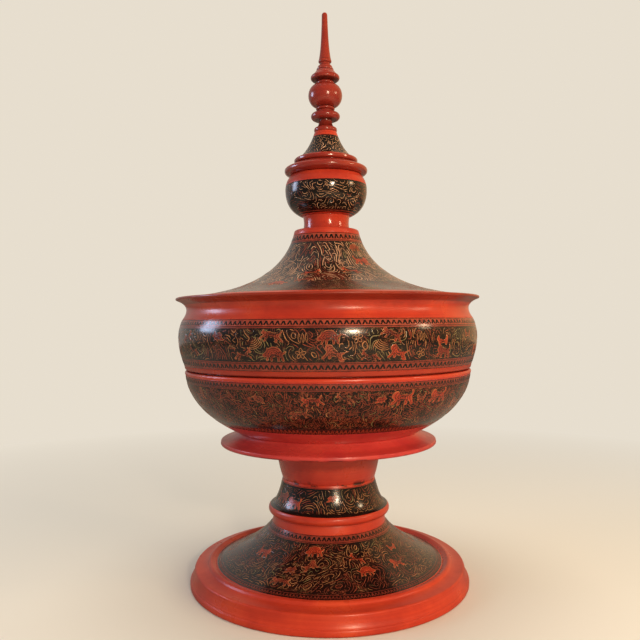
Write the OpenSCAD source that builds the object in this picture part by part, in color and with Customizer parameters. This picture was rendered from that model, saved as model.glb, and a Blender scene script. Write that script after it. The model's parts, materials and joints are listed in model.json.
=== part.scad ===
// Tiered offering vessel in red and black lacquer: stand, bowl, tray, roofed lid, spire and finial.
// Every section is turned about the Z axis and lifts off the one below it. Millimetres, +Z up.

/* [Fits] */
// radial clearance where one section drops into another
slip = 0.4; // [0.3:0.05:0.6]
// wall of the coiled bamboo shells
wall = 4.5; // [3.5:0.5:5.5]
// height of the dark seam left open between bowl and tray
seam_gap = 1.5; // [1:0.25:2]

/* [Foot] */
// widest diameter of the foot moulding
foot_d = 300; // [294:1:310]
// height of the bead along the floor
floor_bead_h = 6.5; // [5:0.5:8]
// height of the lower step of the moulding
plinth_h = 17; // [15:0.5:19]
// how far the lower step draws in towards its top
plinth_taper = 5; // [3:0.5:7]
// height of the whole moulding
foot_h = 23; // [22:0.5:26]
// how far the upper step is set back from the edge of the foot
roll_set = 7; // [6:0.5:10]
// width of the moulding, from the edge of the foot to the foot wall
moulding_w = 27.5; // [24:0.5:30]
// how far the edge of the foot wall lies below the top of the moulding
panel_drop = 1.5; // [1:0.25:2.5]
// depth of the rebate that holds the foot wall
panel_seat_h = 6; // [5:0.5:8]
// width of the ledge under the foot wall
panel_seat_w = 12; // [10:1:16]
// width of the foot wall where it stands on that ledge
panel_foot_w = 8; // [6:0.5:9]
// rise of the foot wall above its edge
cone_rise = 41; // [36:1:46]

/* [Stem] */
// diameter of the collar where it stands on the foot wall
collar_d = 123; // [116:1:126]
// height of the collar
collar_h = 9; // [7:0.5:12]
// how far the collar draws in towards its top
collar_taper = 1.5; // [1:0.25:2.5]
// how far the half-round ring stands proud of the collar
ring_proud = 4.25; // [3:0.25:6]
// depth of the round of that ring
ring_round = 4.3; // [3.5:0.1:5]
// height of the half-round ring
ring_h = 10; // [8:0.5:12]
// diameter of the drum where it is narrowest, at the seam with the bowl
drum_d = 100.6; // [98:0.2:106]
// height of the drum
drum_h = 28; // [26:0.5:34]
// wall of the drum where it is thinnest
drum_wall = 6.3; // [5:0.1:8]
// thickness of the disc that closes the drum
plate_t = 8; // [5:0.5:10]
// depth of the socket above that disc
socket_h = 17; // [16:0.5:20]

/* [Bowl] */
// length of the spigot under the neck
neck_spigot_h = 14; // [10:0.5:15]
// wall of that spigot
neck_spigot_wall = 15.6; // [12:0.2:18]
// height of the neck, up to the floor of the bowl
neck_h = 51.5; // [46:0.5:56]
// how far the neck widens towards the floor of the bowl
neck_flare = 9.7; // [7:0.1:12]
// how far the neck fills out just over its seam
neck_swell = 5.2; // [4:0.1:6.5]
// how far the skirt stands out from the waist
skirt_flare = 19; // [15:0.5:22]
// height of the skirt
skirt_h = 13.5; // [11:0.5:16]
// height of the upright lip of the skirt
skirt_lip_h = 4; // [3:0.5:5]
// diameter of the waist between skirt and bowl
waist_d = 196; // [190:1:200]
// height of the bowl wall
bowl_h = 62.5; // [56:0.5:68]
// diameter of the bowl under its lip
bowl_d = 307; // [304:1:310]
// how far the swell of the bowl stays inside that
bowl_swell_in = 4; // [3:0.5:6]
// thickness of the floor of the bowl
bowl_floor_t = 5; // [4:0.5:7]
// height of the lip of the bowl
lip_h = 4; // [3:0.5:6]
// width of the lip of the bowl
lip_w = 8; // [8:0.5:10]

/* [Tray] */
// depth of the hoop that nests in the mouth of the bowl
tray_spigot_h = 10; // [7:0.5:12]
// width of that hoop
tray_spigot_w = 6; // [5:0.5:7]
// height of the bottom hoop
hoop_h = 6; // [5:0.5:8]
// how far the bottom hoop stands proud of the bowl
hoop_proud = 1.2; // [0.5:0.1:2]
// thickness of the floor of the tray
tray_floor_t = 5; // [4:0.5:5]
// height of the tray wall
tray_h = 47.5; // [42:0.5:52]
// swell of the tray wall beyond its top
tray_swell = 9; // [6:0.5:11]
// how far the top of the tray wall stands proud of the bowl
tray_proud = 3; // [2:0.25:5]
// height of the neck and brim
brim_h = 23.5; // [21.5:0.5:26]
// how far the brim stands out beyond the tray wall
brim_proud = 6.9; // [5:0.1:9]
// thickness of the edge of the brim
brim_t = 3; // [2:0.5:3.5]
// how far the neck draws in below the brim
neck_hollow = 11; // [9:0.5:12]

/* [Lid] */
// how far the seat for the lid lies inside the tray wall
seat_in = 5.5; // [5:0.25:7]
// depth of the seat
seat_h = 4; // [3.5:0.25:5]
// width of that seat
ledge_w = 4.5; // [4:0.25:5.5]
// depth of the hoop that locates the lid
flange_h = 10; // [7:0.5:12]
// width of that hoop
flange_w = 6; // [5:0.5:6]
// width of the edge hoop, from the seat to the roof
edge_w = 13; // [12:0.25:15]
// rise of the edge hoop from its rim to the roof
edge_rise = 2; // [1:0.25:3]
// height of the roof
roof_h = 66; // [60:1:72]
// diameter of the crown
crown_d = 73; // [70:0.5:76]
// height of the crown
crown_h = 5.5; // [4.5:0.5:7]
// how far the crown draws in towards its top
crown_taper = 2.1; // [1.5:0.1:3]
// diameter of the boss under the crown
boss_d = 40; // [36:1:44]
// length of the socket through crown and boss
crown_socket_h = 22; // [22:0.5:26]

/* [Spire] */
// diameter of the dowel
dowel_d = 21.2; // [20:0.2:23]
// length of the dowel in the crown
tenon_h = 20; // [15:0.5:21]
// length of the dowel inside the cap
dowel_cap_h = 5; // [4:0.5:6]
// diameter of the neck
spire_neck_d = 50.6; // [48:0.2:54]
// height of the neck
spire_neck_h = 15.5; // [12:0.5:18]
// diameter of the bulb
bulb_d = 89.6; // [86:0.4:94]
// height of the bulb
bulb_h = 44; // [40:0.5:48]
// share of the bulb's height that lies below its widest place
bulb_low = 0.66; // [0.6:0.01:0.7]
// diameter of the top of the bulb
bulb_top_d = 78.6; // [76:0.2:80]
// diameter of the large ring
ring_large_d = 91; // [89:0.5:96]
// height of the large ring
ring_large_h = 12; // [10:0.5:15]
// diameter of the small ring
ring_small_d = 69.2; // [66:0.2:72]
// height of the small ring
ring_small_h = 8; // [6.5:0.5:10]
// diameter of the cap at its bottom
cap_d = 60; // [56:0.5:63]
// diameter of the cap at its top
cap_top_d = 24.4; // [23:0.2:26]
// height of the cap
cap_h = 29; // [26:0.5:33]
// how far the cap stays wider than its top where it is drawn in
cap_hollow = 6.3; // [5:0.1:8]

/* [Finial] */
// diameter of the peg
peg_d = 10; // [8:0.5:11]
// length of the peg
peg_h = 15; // [11:0.5:15.5]
// diameter of the base ring
base_ring_d = 25.4; // [24:0.2:28]
// height of the base ring
base_ring_h = 5; // [4:0.5:6]
// diameter of the neck over the base ring
base_neck_d = 14.4; // [12:0.2:16]
// height of that neck
base_neck_h = 8.5; // [6.5:0.5:10]
// diameter of the disc
disc_d = 32; // [29:0.5:35]
// height of the disc
disc_h = 8; // [6.5:0.5:10]
// diameter of the neck over the disc
disc_neck_d = 16.4; // [15:0.2:18]
// height of that neck
disc_neck_h = 3; // [2.5:0.25:4]
// diameter of the small ring under the ball
bead_d = 20.8; // [19.6:0.2:23]
// height of that small ring
bead_h = 3.5; // [3:0.25:5]
// diameter of the ball
ball_d = 37.4; // [35:0.2:40]
// height of the ball
ball_h = 25; // [22:0.5:28]
// diameter of the neck over the ball
ball_neck_d = 19.4; // [17:0.2:21]
// height of that neck
ball_neck_h = 2.5; // [2:0.25:4]
// diameter of the umbrella
umbrella_d = 32; // [29:0.2:34]
// height of the umbrella
umbrella_h = 17.5; // [15:0.5:20]
// diameter of the collar over the umbrella
step_d = 11.4; // [10.4:0.2:13]
// height of that collar
step_h = 4; // [3:0.5:6]
// diameter of the foot of the tip
spike_d = 14.4; // [13:0.2:15.4]
// diameter of the tip near its end
spike_top_d = 6.2; // [5:0.2:7]
// length of the tip
spike_h = 56; // [50:1:66]

/* [Hidden] */
$fn = 96;
// points along each curved wall
curve_n = 12;
// points along each half-round
round_n = 10;

// heights of the seams, from the floor up
z_panel = foot_h - panel_drop;
z_collar = z_panel + cone_rise;
z_ring = z_collar + collar_h;
z_drum = z_ring + ring_h;
z_bowl = z_drum + drum_h;
z_waist = z_bowl + neck_h;
z_lip = z_waist + bowl_h;
z_tray = z_lip + lip_h;
z_tray_wall = z_tray + hoop_h;
z_brim = z_tray_wall + tray_h;
z_brim_top = z_brim + brim_h;
z_seat = z_brim_top - seat_h;
z_roof = z_brim_top + edge_rise;
z_crown = z_roof + roof_h;
z_spire = z_crown + crown_h;
z_bulb = z_spire + spire_neck_h;
z_ring_large = z_bulb + bulb_h;
z_ring_small = z_ring_large + ring_large_h;
z_cap = z_ring_small + ring_small_h;
z_finial = z_cap + cap_h;
z_disc = z_finial + base_ring_h + base_neck_h;
z_ball = z_disc + disc_h + disc_neck_h;
z_umbrella = z_ball + bead_h + ball_h + ball_neck_h;
z_spike = z_umbrella + umbrella_h + step_h;

// radii that neighbours share
foot_r = foot_d / 2;
panel_r = foot_r - moulding_w;
collar_r = collar_d / 2;
collar_top_r = collar_r - collar_taper;
ring_r = collar_r + ring_proud;
ring_edge_r = ring_r - ring_round;
drum_r = drum_d / 2;
stem_bore_r = drum_r - drum_wall;
spigot_r = stem_bore_r - slip;
neck_bore_r = spigot_r - neck_spigot_wall;
waist_r = waist_d / 2;
bowl_r = bowl_d / 2;
bowl_floor_r = waist_r - 1.8 * wall;
lip_bore_r = bowl_r - lip_w;
tray_spigot_r = lip_bore_r - slip;
tray_bore_r = tray_spigot_r - tray_spigot_w;
hoop_r = bowl_r + hoop_proud;
tray_top_r = bowl_r + tray_proud;
brim_r = tray_top_r + brim_proud;
seat_r = tray_top_r - seat_in;
mouth_r = seat_r - ledge_w;
lid_r = seat_r - slip;
flange_r = mouth_r - slip;
roof_r = seat_r - edge_w;
crown_r = crown_d / 2;
dowel_r = dowel_d / 2;
crown_bore_r = dowel_r + slip;
bulb_top_r = bulb_top_d / 2;
cap_r = cap_d / 2;
peg_r = peg_d / 2;
peg_bore_r = peg_r + slip;

// a smooth curve from a to c that is drawn towards b
function sweep(a, b, c, n = curve_n) =
    [for (i = [0 : n]) let (t = i / n) (1 - t) * (1 - t) * a + 2 * t * (1 - t) * b + t * t * c];
// the direction of that curve at share t of its way
function heading(a, b, c, t) =
    let (v = (1 - t) * (b - a) + t * (c - b)) v / norm(v);
// the same curve moved to its left by w
function left_of(a, b, c, w, n = curve_n) =
    [for (i = [0 : n]) let (t = i / n, v = heading(a, b, c, t))
        (1 - t) * (1 - t) * a + 2 * t * (1 - t) * b + t * t * c + w * [-v[1], v[0]]];
// the points of a list that lie between two heights
function between(pts, low, high) = [for (p = pts) if (p[1] > low && p[1] < high) p];
// a list in the other order
function back(pts) = [for (i = [len(pts) - 1 : -1 : 0]) pts[i]];
// a half-round from height z to z + h that stands out from radius r to radius top
function half_round(r, top, z, h, n = round_n) =
    [for (i = [0 : n]) [r + (top - r) * sin(180 * i / n), z + h / 2 - h / 2 * cos(180 * i / n)]];
// the inner radius of a wall w thick where the curve a, b, c starts or ends
function level_in(a, b, c, t, w) = w / abs(heading(a, b, c, t)[1]);

// curves of the shells, each from its lower edge to its upper edge
cone_a = [panel_r, z_panel];
cone_b = [collar_r + 0.3 * (panel_r - collar_r), z_panel + 0.4 * cone_rise];
cone_c = [collar_r, z_collar];
cone_top_w = level_in(cone_a, cone_b, cone_c, 1, wall);
bowl_a = [waist_r, z_waist];
bowl_b = [bowl_r - bowl_swell_in, z_waist + 0.4 * bowl_h];
bowl_c = [bowl_r, z_lip];
bowl_top_w = level_in(bowl_a, bowl_b, bowl_c, 1, wall);
z_bowl_floor = z_waist + bowl_floor_t;
tray_a = [hoop_r, z_tray_wall];
tray_b = [tray_top_r + tray_swell, z_tray_wall + 0.6 * tray_h];
tray_c = [tray_top_r, z_brim];
tray_low_w = level_in(tray_a, tray_b, tray_c, 0, wall);
tray_top_w = level_in(tray_a, tray_b, tray_c, 1, wall);
roof_a = [roof_r, z_roof];
roof_b = [crown_r + 0.153 * (roof_r - crown_r), z_roof + 0.183 * roof_h];
roof_c = [crown_r, z_crown];
roof_edge_w = wall / abs(heading(roof_a, roof_b, roof_c, 0)[0]);
roof_top_w = level_in(roof_a, roof_b, roof_c, 1, wall);

module turned(pts, c) {
    color(c) rotate_extrude() polygon(pts);
}

red = [0.72, 0.2, 0.14];
black = [0.13, 0.11, 0.1];

// stepped moulding that the vessel stands on, rebated for the foot wall
module foot_ring() {
    bore_r = panel_r - panel_seat_w;
    z_ledge = z_panel - panel_seat_h;
    roll_r = foot_r - roll_set;
    roll_w = 12.5;
    roll_edge_h = 2.4;
    roll_swell = 6;
    eased = 1.2;
    groove = 1.4;
    turned(concat(
        [[bore_r, 0], [foot_r - eased, 0], [foot_r, eased], [foot_r, floor_bead_h - eased], [foot_r - groove, floor_bead_h]],
        sweep([foot_r - 0.8 * groove, floor_bead_h + 0.5 * eased], [foot_r - 0.36 * plinth_taper, 0.87 * plinth_h],
            [foot_r - plinth_taper, plinth_h], 5),
        [[roll_r, plinth_h], [roll_r, plinth_h + 0.6 * roll_edge_h]],
        sweep([roll_r - 0.5 * eased, plinth_h + roll_edge_h], [roll_r - roll_swell, foot_h], [roll_r - roll_w, foot_h], 6),
        [[panel_r + 2, foot_h - 0.6], [panel_r, z_panel], [panel_r, z_ledge], [bore_r, z_ledge]]), red);
}

// concave foot wall, set in the rebate of the moulding
module foot_cone() {
    seat_in_r = panel_r - panel_foot_w;
    under = [for (p = left_of(cone_a, cone_b, cone_c, wall)) if (p[0] < seat_in_r && p[1] < z_collar) p];
    turned(concat([[panel_r, z_panel - panel_seat_h]], sweep(cone_a, cone_b, cone_c),
        [[collar_r - cone_top_w, z_collar]], back(under), [[seat_in_r, z_panel - panel_seat_h]]), black);
}

// collar on the foot wall
module stem_collar() {
    turned([[stem_bore_r, z_collar], [collar_r, z_collar], [collar_top_r, z_ring], [stem_bore_r, z_ring]], red);
}

// half-round ring under the drum
module stem_ring() {
    turned(concat([[stem_bore_r, z_ring]], half_round(ring_edge_r, ring_r, z_ring, ring_h),
        [[stem_bore_r, z_drum]]), red);
}

// waisted drum, its bore is the socket of the bowl
module stem_drum() {
    turned(concat([[stem_bore_r, z_drum]],
        sweep([ring_edge_r, z_drum], [drum_r + 0.45 * (ring_edge_r - drum_r), z_drum + 0.18 * drum_h], [drum_r, z_bowl]),
        [[stem_bore_r, z_bowl]]), black);
}

// disc glued across the bore of the drum
module stem_plate() {
    z = z_bowl - socket_h - plate_t;
    turned([[0, z], [stem_bore_r, z], [stem_bore_r, z + plate_t], [0, z + plate_t]], black);
}

// tapering neck with the spigot that drops into the drum
module bowl_neck() {
    turned(concat(
        [[neck_bore_r, z_bowl - neck_spigot_h], [spigot_r, z_bowl - neck_spigot_h], [spigot_r, z_bowl]],
        sweep([drum_r, z_bowl], [drum_r + neck_swell, z_bowl + 0.28 * neck_h], [drum_r + neck_flare, z_waist]),
        [[neck_bore_r, z_waist]]), red);
}

// flaring skirt, glued under the edge of the bowl wall
module bowl_skirt() {
    edge_r = waist_r + skirt_flare;
    z_edge = z_waist - skirt_h;
    z_lip_top = z_edge + skirt_lip_h;
    edge_t = 6;
    eased = 1;
    lean = 0.5;
    throat_w = 4;
    throat_h = 1.5;
    lip_in = 2;
    lip_rise = 0.6;
    hollow_w = 3;
    hollow_h = 2.5;
    turned(concat(
        [[edge_r - edge_t, z_edge], [edge_r - eased, z_edge], [edge_r, z_edge + eased],
            [edge_r - lean, z_lip_top]],
        sweep([edge_r - lip_in, z_lip_top + lip_rise], [waist_r + hollow_w, z_lip_top + hollow_h], [waist_r, z_waist], 6),
        [[bowl_floor_r, z_waist]],
        sweep([bowl_floor_r, z_waist - 2], [waist_r - throat_w, z_edge + throat_h],
            [edge_r - edge_t, z_edge], 6)), red);
}

// wall of the bowl, rebated for its floor
module bowl_shell() {
    inner = between(left_of(bowl_a, bowl_b, bowl_c, wall), z_bowl_floor + 0.5, z_lip - 0.5);
    turned(concat(sweep(bowl_a, bowl_b, bowl_c), [[bowl_r - bowl_top_w, z_lip]], back(inner),
        [[inner[0][0] - 1, z_bowl_floor], [bowl_floor_r, z_bowl_floor], [bowl_floor_r, z_waist]]), black);
}

// floor of the bowl, stands on the neck
module bowl_floor() {
    turned([[0, z_waist], [bowl_floor_r, z_waist], [bowl_floor_r, z_bowl_floor], [0, z_bowl_floor]], red);
}

// lip hoop of the bowl
module bowl_lip() {
    turned([[lip_bore_r, z_lip], [bowl_r, z_lip], [bowl_r + 0.6, z_lip + 0.4 * lip_h],
        [bowl_r + 0.3, z_tray - 0.8], [bowl_r - 0.6, z_tray], [lip_bore_r, z_tray]], red);
}

// hoop under the tray that nests in the mouth of the bowl
module tray_spigot() {
    turned([[tray_bore_r, z_tray - tray_spigot_h], [tray_spigot_r, z_tray - tray_spigot_h],
        [tray_spigot_r, z_tray], [tray_bore_r, z_tray]], red);
}

// bottom hoop of the tray, set back at its foot so that the seam shows dark
module tray_hoop() {
    rest_r = lip_bore_r + 3;
    turned([[tray_bore_r, z_tray], [rest_r, z_tray], [rest_r, z_tray + seam_gap], [hoop_r - 2, z_tray + seam_gap],
        [hoop_r - 1, z_tray + seam_gap + 0.6], [hoop_r, z_tray_wall], [tray_bore_r, z_tray_wall]], red);
}

// floor of the tray, set in the bottom hoop
module tray_floor() {
    turned([[0, z_tray], [tray_bore_r, z_tray], [tray_bore_r, z_tray + tray_floor_t], [0, z_tray + tray_floor_t]], red);
}

// bulging wall of the tray
module tray_shell() {
    inner = between(left_of(tray_a, tray_b, tray_c, wall), z_tray_wall + 0.5, z_brim - 0.5);
    turned(concat(sweep(tray_a, tray_b, tray_c), [[tray_top_r - tray_top_w, z_brim]], back(inner),
        [[hoop_r - tray_low_w, z_tray_wall]]), black);
}

// concave neck and everted brim with the seat of the lid
module tray_brim() {
    tip_r = brim_r - brim_t / 2;
    z_tip = z_brim_top - 0.4;
    turned(concat(
        sweep([tray_top_r, z_brim], [tray_top_r - neck_hollow, z_brim + 0.6 * brim_h], [tip_r, z_tip - brim_t]),
        [for (a = [-60 : 30 : 60]) [tip_r + brim_t / 2 * cos(a), z_tip - brim_t / 2 + brim_t / 2 * sin(a)]],
        [[tip_r, z_tip], [seat_r, z_brim_top], [seat_r, z_seat], [mouth_r, z_seat], [mouth_r, z_brim + 0.4 * brim_h],
        [tray_top_r - tray_top_w, z_brim]]), red);
}

// hoop that locates the lid in the neck of the tray
module lid_flange() {
    turned([[flange_r - flange_w, z_seat - flange_h], [flange_r, z_seat - flange_h],
        [flange_r, z_seat], [flange_r - flange_w, z_seat]], red);
}

// edge hoop of the lid, rests on the seat in the brim
module lid_edge() {
    turned([[roof_r, z_seat], [lid_r, z_seat], [lid_r, z_brim_top - 0.8], [lid_r - 0.8, z_brim_top], [roof_r, z_roof]], red);
}

// concave roof
module lid_roof() {
    under = [for (p = left_of(roof_a, roof_b, roof_c, wall)) if (p[0] < roof_r - 1 && p[1] < z_crown - 0.5) p];
    turned(concat(sweep(roof_a, roof_b, roof_c, 18), [[crown_r - roof_top_w, z_crown]], back(under),
        [[roof_r, z_roof - roof_edge_w]]), black);
}

// crown with the socket of the spire
module lid_crown() {
    boss_r = boss_d / 2;
    z_boss = z_spire - crown_socket_h;
    turned([[crown_bore_r, z_boss], [boss_r, z_boss], [boss_r, z_crown], [crown_r, z_crown],
        [crown_r - 0.3 * crown_taper, z_crown + 0.42 * crown_h], [crown_r - 0.52 * crown_taper, z_crown + 0.8 * crown_h],
        [crown_r - crown_taper, z_spire],
        [crown_bore_r, z_spire]], red);
}

// dowel that carries the turned pieces of the spire
module spire_dowel() {
    z = z_spire - tenon_h;
    color(red) translate([0, 0, z]) cylinder(r = dowel_r, h = z_cap + dowel_cap_h - z);
}

// neck of the spire, hollowed a little
module spire_neck() {
    r = spire_neck_d / 2;
    turned(concat([[dowel_r, z_spire]], sweep([r, z_spire], [r - 0.6, z_spire + 0.5 * spire_neck_h], [r, z_bulb], 4),
        [[dowel_r, z_bulb]]), red);
}

// bulb of the spire
module spire_bulb() {
    r = bulb_d / 2;
    low_r = spire_neck_d / 2 + 1.2;
    z_wide = z_bulb + bulb_low * bulb_h;
    turned(concat([[dowel_r, z_bulb]],
        sweep([low_r, z_bulb], [r, z_bulb + 0.16 * bulb_h], [r, z_wide]),
        sweep([r, z_wide + 0.2], [r, z_wide + 0.2 * bulb_h], [bulb_top_r, z_ring_large], 6),
        [[dowel_r, z_ring_large]]), black);
}

// large ring with a rounded edge and a sloping top
module spire_ring_large() {
    edge_r = ring_large_d / 2;
    edge_in = 4;
    ring_slope_w = 7.5;
    turned(concat([[dowel_r, z_ring_large]],
        [[bulb_top_r - 2, z_ring_large]],
        sweep([edge_r - edge_in, z_ring_large + 0.14 * ring_large_h], [edge_r, z_ring_large + 0.24 * ring_large_h],
            [edge_r, z_ring_large + 0.46 * ring_large_h], 5),
        sweep([edge_r, z_ring_large + 0.52 * ring_large_h], [edge_r, z_ring_large + 0.74 * ring_large_h],
            [edge_r - edge_in, z_ring_large + 0.82 * ring_large_h], 5),
        [[cap_r + ring_slope_w, z_ring_small], [dowel_r, z_ring_small]]), red);
}

// small ring with a thin edge over a short neck
module spire_ring_small() {
    edge_r = ring_small_d / 2;
    neck_in = 2.8;
    eased = 0.9;
    top_w = 0.6;
    z_neck = z_ring_small + 0.24 * ring_small_h;
    turned([[dowel_r, z_ring_small], [edge_r - neck_in, z_ring_small], [edge_r - neck_in, z_neck],
        [edge_r - eased, z_neck + eased], [edge_r, z_neck + 2.4 * eased], [edge_r, z_cap - 2 * eased],
        [edge_r - eased, z_cap - eased], [cap_r + top_w, z_cap], [dowel_r, z_cap]], red);
}

// concave cap with the socket of the finial
module spire_cap() {
    top_r = cap_top_d / 2;
    z_socket = z_finial - peg_h - 1;
    z_dowel = z_cap + dowel_cap_h;
    difference() {
        turned(concat([[0, z_cap]],
            sweep([cap_r, z_cap], [top_r + cap_hollow, z_cap + 0.32 * cap_h], [top_r, z_finial]), [[0, z_finial]]), black);
        translate([0, 0, z_cap - 1]) cylinder(r = dowel_r, h = z_dowel - z_cap + 1);
        translate([0, 0, z_socket]) cylinder(r = peg_bore_r, h = peg_h + 2);
    }
}

// base ring, neck and disc of the finial with its peg
module finial_base() {
    neck_r = base_neck_d / 2;
    base_flare = 3;
    disc_round = 4;
    over_r = disc_neck_d / 2;
    z_neck = z_finial + base_ring_h;
    turned(concat([[0, z_finial - peg_h], [peg_r, z_finial - peg_h], [peg_r, z_finial]],
        half_round(base_ring_d / 2 - 1.5, base_ring_d / 2, z_finial, base_ring_h, 6),
        sweep([neck_r + base_flare, z_neck + 0.3], [neck_r, z_neck + 0.3 * base_neck_h], [neck_r, z_disc - 1], 5),
        half_round(disc_d / 2 - disc_round, disc_d / 2, z_disc, disc_h),
        [[over_r, z_disc + disc_h + 0.4], [over_r, z_ball], [0, z_ball]]), red);
}

// ball of the finial with the small ring under it
module finial_bulb() {
    bead_r = bead_d / 2;
    z = z_ball + bead_h;
    neck_r = ball_neck_d / 2;
    turned(concat([[0, z_ball]], half_round(bead_r - 1.6, bead_r, z_ball, bead_h - 0.4, 6),
        half_round(bead_r - 1.6, ball_d / 2, z, ball_h, 14),
        [[neck_r, z + ball_h + 0.4], [neck_r, z_umbrella], [0, z_umbrella]]), red);
}

// umbrella of the finial, dished below, with a hollow slope and a small tier above
module finial_umbrella() {
    r = umbrella_d / 2;
    top_r = step_d / 2;
    tier_r = 0.59 * r;
    tier_h = 1.4;
    z_tier = z_umbrella + 0.74 * umbrella_h;
    z_step = z_umbrella + umbrella_h;
    turned(concat([[0, z_umbrella], [ball_neck_d / 2, z_umbrella], [0.85 * r, z_umbrella + 0.085 * umbrella_h],
            [0.96 * r, z_umbrella + 0.16 * umbrella_h], [r, z_umbrella + 0.24 * umbrella_h],
            [0.985 * r, z_umbrella + 0.33 * umbrella_h]],
        sweep([0.95 * r, z_umbrella + 0.39 * umbrella_h], [0.775 * r, z_umbrella + 0.49 * umbrella_h],
            [0.64 * r, z_umbrella + 0.69 * umbrella_h], 5),
        [[tier_r, z_tier], [tier_r, z_tier + tier_h], [0.53 * r, z_umbrella + 0.88 * umbrella_h],
            [0.51 * r, z_umbrella + 0.955 * umbrella_h], [0.46 * r, z_step + 0.15 * step_h], [top_r, z_step + 0.2 * step_h],
            [top_r, z_spike], [0, z_spike]]), red);
}

// slender tip of the finial
module finial_spike() {
    top_r = spike_top_d / 2;
    foot_edge_r = spike_d / 2;
    eased = 0.9;
    z_top = z_spike + spike_h;
    turned(concat([[0, z_spike], [foot_edge_r - eased, z_spike], [foot_edge_r, z_spike + eased],
        [foot_edge_r, z_spike + 2.6 * eased]],
        sweep([foot_edge_r - 0.5 * eased, z_spike + 3.8 * eased], [top_r + eased, z_spike + 0.28 * spike_h],
            [top_r, z_top - top_r], 10),
        [for (a = [30 : 30 : 60]) [top_r * cos(a), z_top - top_r + top_r * sin(a)]],
        [[0, z_top]]), red);
}

foot_ring();
foot_cone();
stem_collar();
stem_ring();
stem_drum();
stem_plate();
bowl_neck();
bowl_skirt();
bowl_shell();
bowl_floor();
bowl_lip();
tray_spigot();
tray_hoop();
tray_floor();
tray_shell();
tray_brim();
lid_flange();
lid_edge();
lid_roof();
lid_crown();
spire_dowel();
spire_neck();
spire_bulb();
spire_ring_large();
spire_ring_small();
spire_cap();
finial_base();
finial_bulb();
finial_umbrella();
finial_spike();
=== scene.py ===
import bpy
import json
import math
import random
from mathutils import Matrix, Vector
from mathutils.geometry import delaunay_2d_cdt

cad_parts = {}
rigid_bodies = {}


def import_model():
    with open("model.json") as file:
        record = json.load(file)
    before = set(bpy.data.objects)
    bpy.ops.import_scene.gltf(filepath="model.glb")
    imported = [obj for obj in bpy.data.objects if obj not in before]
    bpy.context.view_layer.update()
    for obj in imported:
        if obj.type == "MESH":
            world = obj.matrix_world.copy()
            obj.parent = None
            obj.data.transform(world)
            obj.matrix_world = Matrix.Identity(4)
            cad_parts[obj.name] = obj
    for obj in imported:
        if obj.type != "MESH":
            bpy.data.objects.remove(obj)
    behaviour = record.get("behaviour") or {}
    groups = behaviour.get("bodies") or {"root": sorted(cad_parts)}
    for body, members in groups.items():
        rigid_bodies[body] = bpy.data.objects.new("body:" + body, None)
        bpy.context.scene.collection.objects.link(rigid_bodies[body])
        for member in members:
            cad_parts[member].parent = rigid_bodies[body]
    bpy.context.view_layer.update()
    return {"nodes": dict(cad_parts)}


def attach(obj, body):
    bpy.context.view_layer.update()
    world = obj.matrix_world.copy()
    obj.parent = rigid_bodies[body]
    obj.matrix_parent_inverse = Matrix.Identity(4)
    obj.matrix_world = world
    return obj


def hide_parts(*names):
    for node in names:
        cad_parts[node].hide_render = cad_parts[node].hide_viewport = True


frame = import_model()


# Foot moulding: a ring turned from one block of wood, with a bead along the floor, two hollow tiers,
# a roll at the top and a rebate for the foot wall. It carries everything, and is finished in red
# cinnabar lacquer. Here and below, an outline's points are radius and height in mm.

MM = 1000  # in a metre
ON_AXIS = 0.01  # a smaller radius in mm lies on the axis


def sweep(a, b, c, n=12):
    """Points of a smooth curve from a to c that bends towards b."""
    return [tuple(a[k] * (1 - t) ** 2 + b[k] * 2 * t * (1 - t) + c[k] * t * t for k in (0, 1))
            for t in (i / n for i in range(n + 1))]


def eased(outline, cut):
    """The outline with each sharp corner rubbed down to a small round."""
    sharp, share_of_side = math.radians(24), 0.42
    worked = []
    for i, here in enumerate(outline):
        before, after = outline[i - 1], outline[(i + 1) % len(outline)]
        back = (before[0] - here[0], before[1] - here[1])
        on = (after[0] - here[0], after[1] - here[1])
        reach_back, reach_on = math.hypot(*back), math.hypot(*on)
        bend = math.acos(max(-1, min(1, -(back[0] * on[0] + back[1] * on[1]) / (reach_back * reach_on))))
        if bend < sharp or here[0] < ON_AXIS:
            worked.append(here)
            continue
        first = min(cut, share_of_side * reach_back) / reach_back
        last = min(cut, share_of_side * reach_on) / reach_on
        start = (here[0] + back[0] * first, here[1] + back[1] * first)
        end = (here[0] + on[0] * last, here[1] + on[1] * last)
        worked += [(r, z, here[2]) for r, z in sweep(start, here[:2], end, 3)]
    return worked


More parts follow.
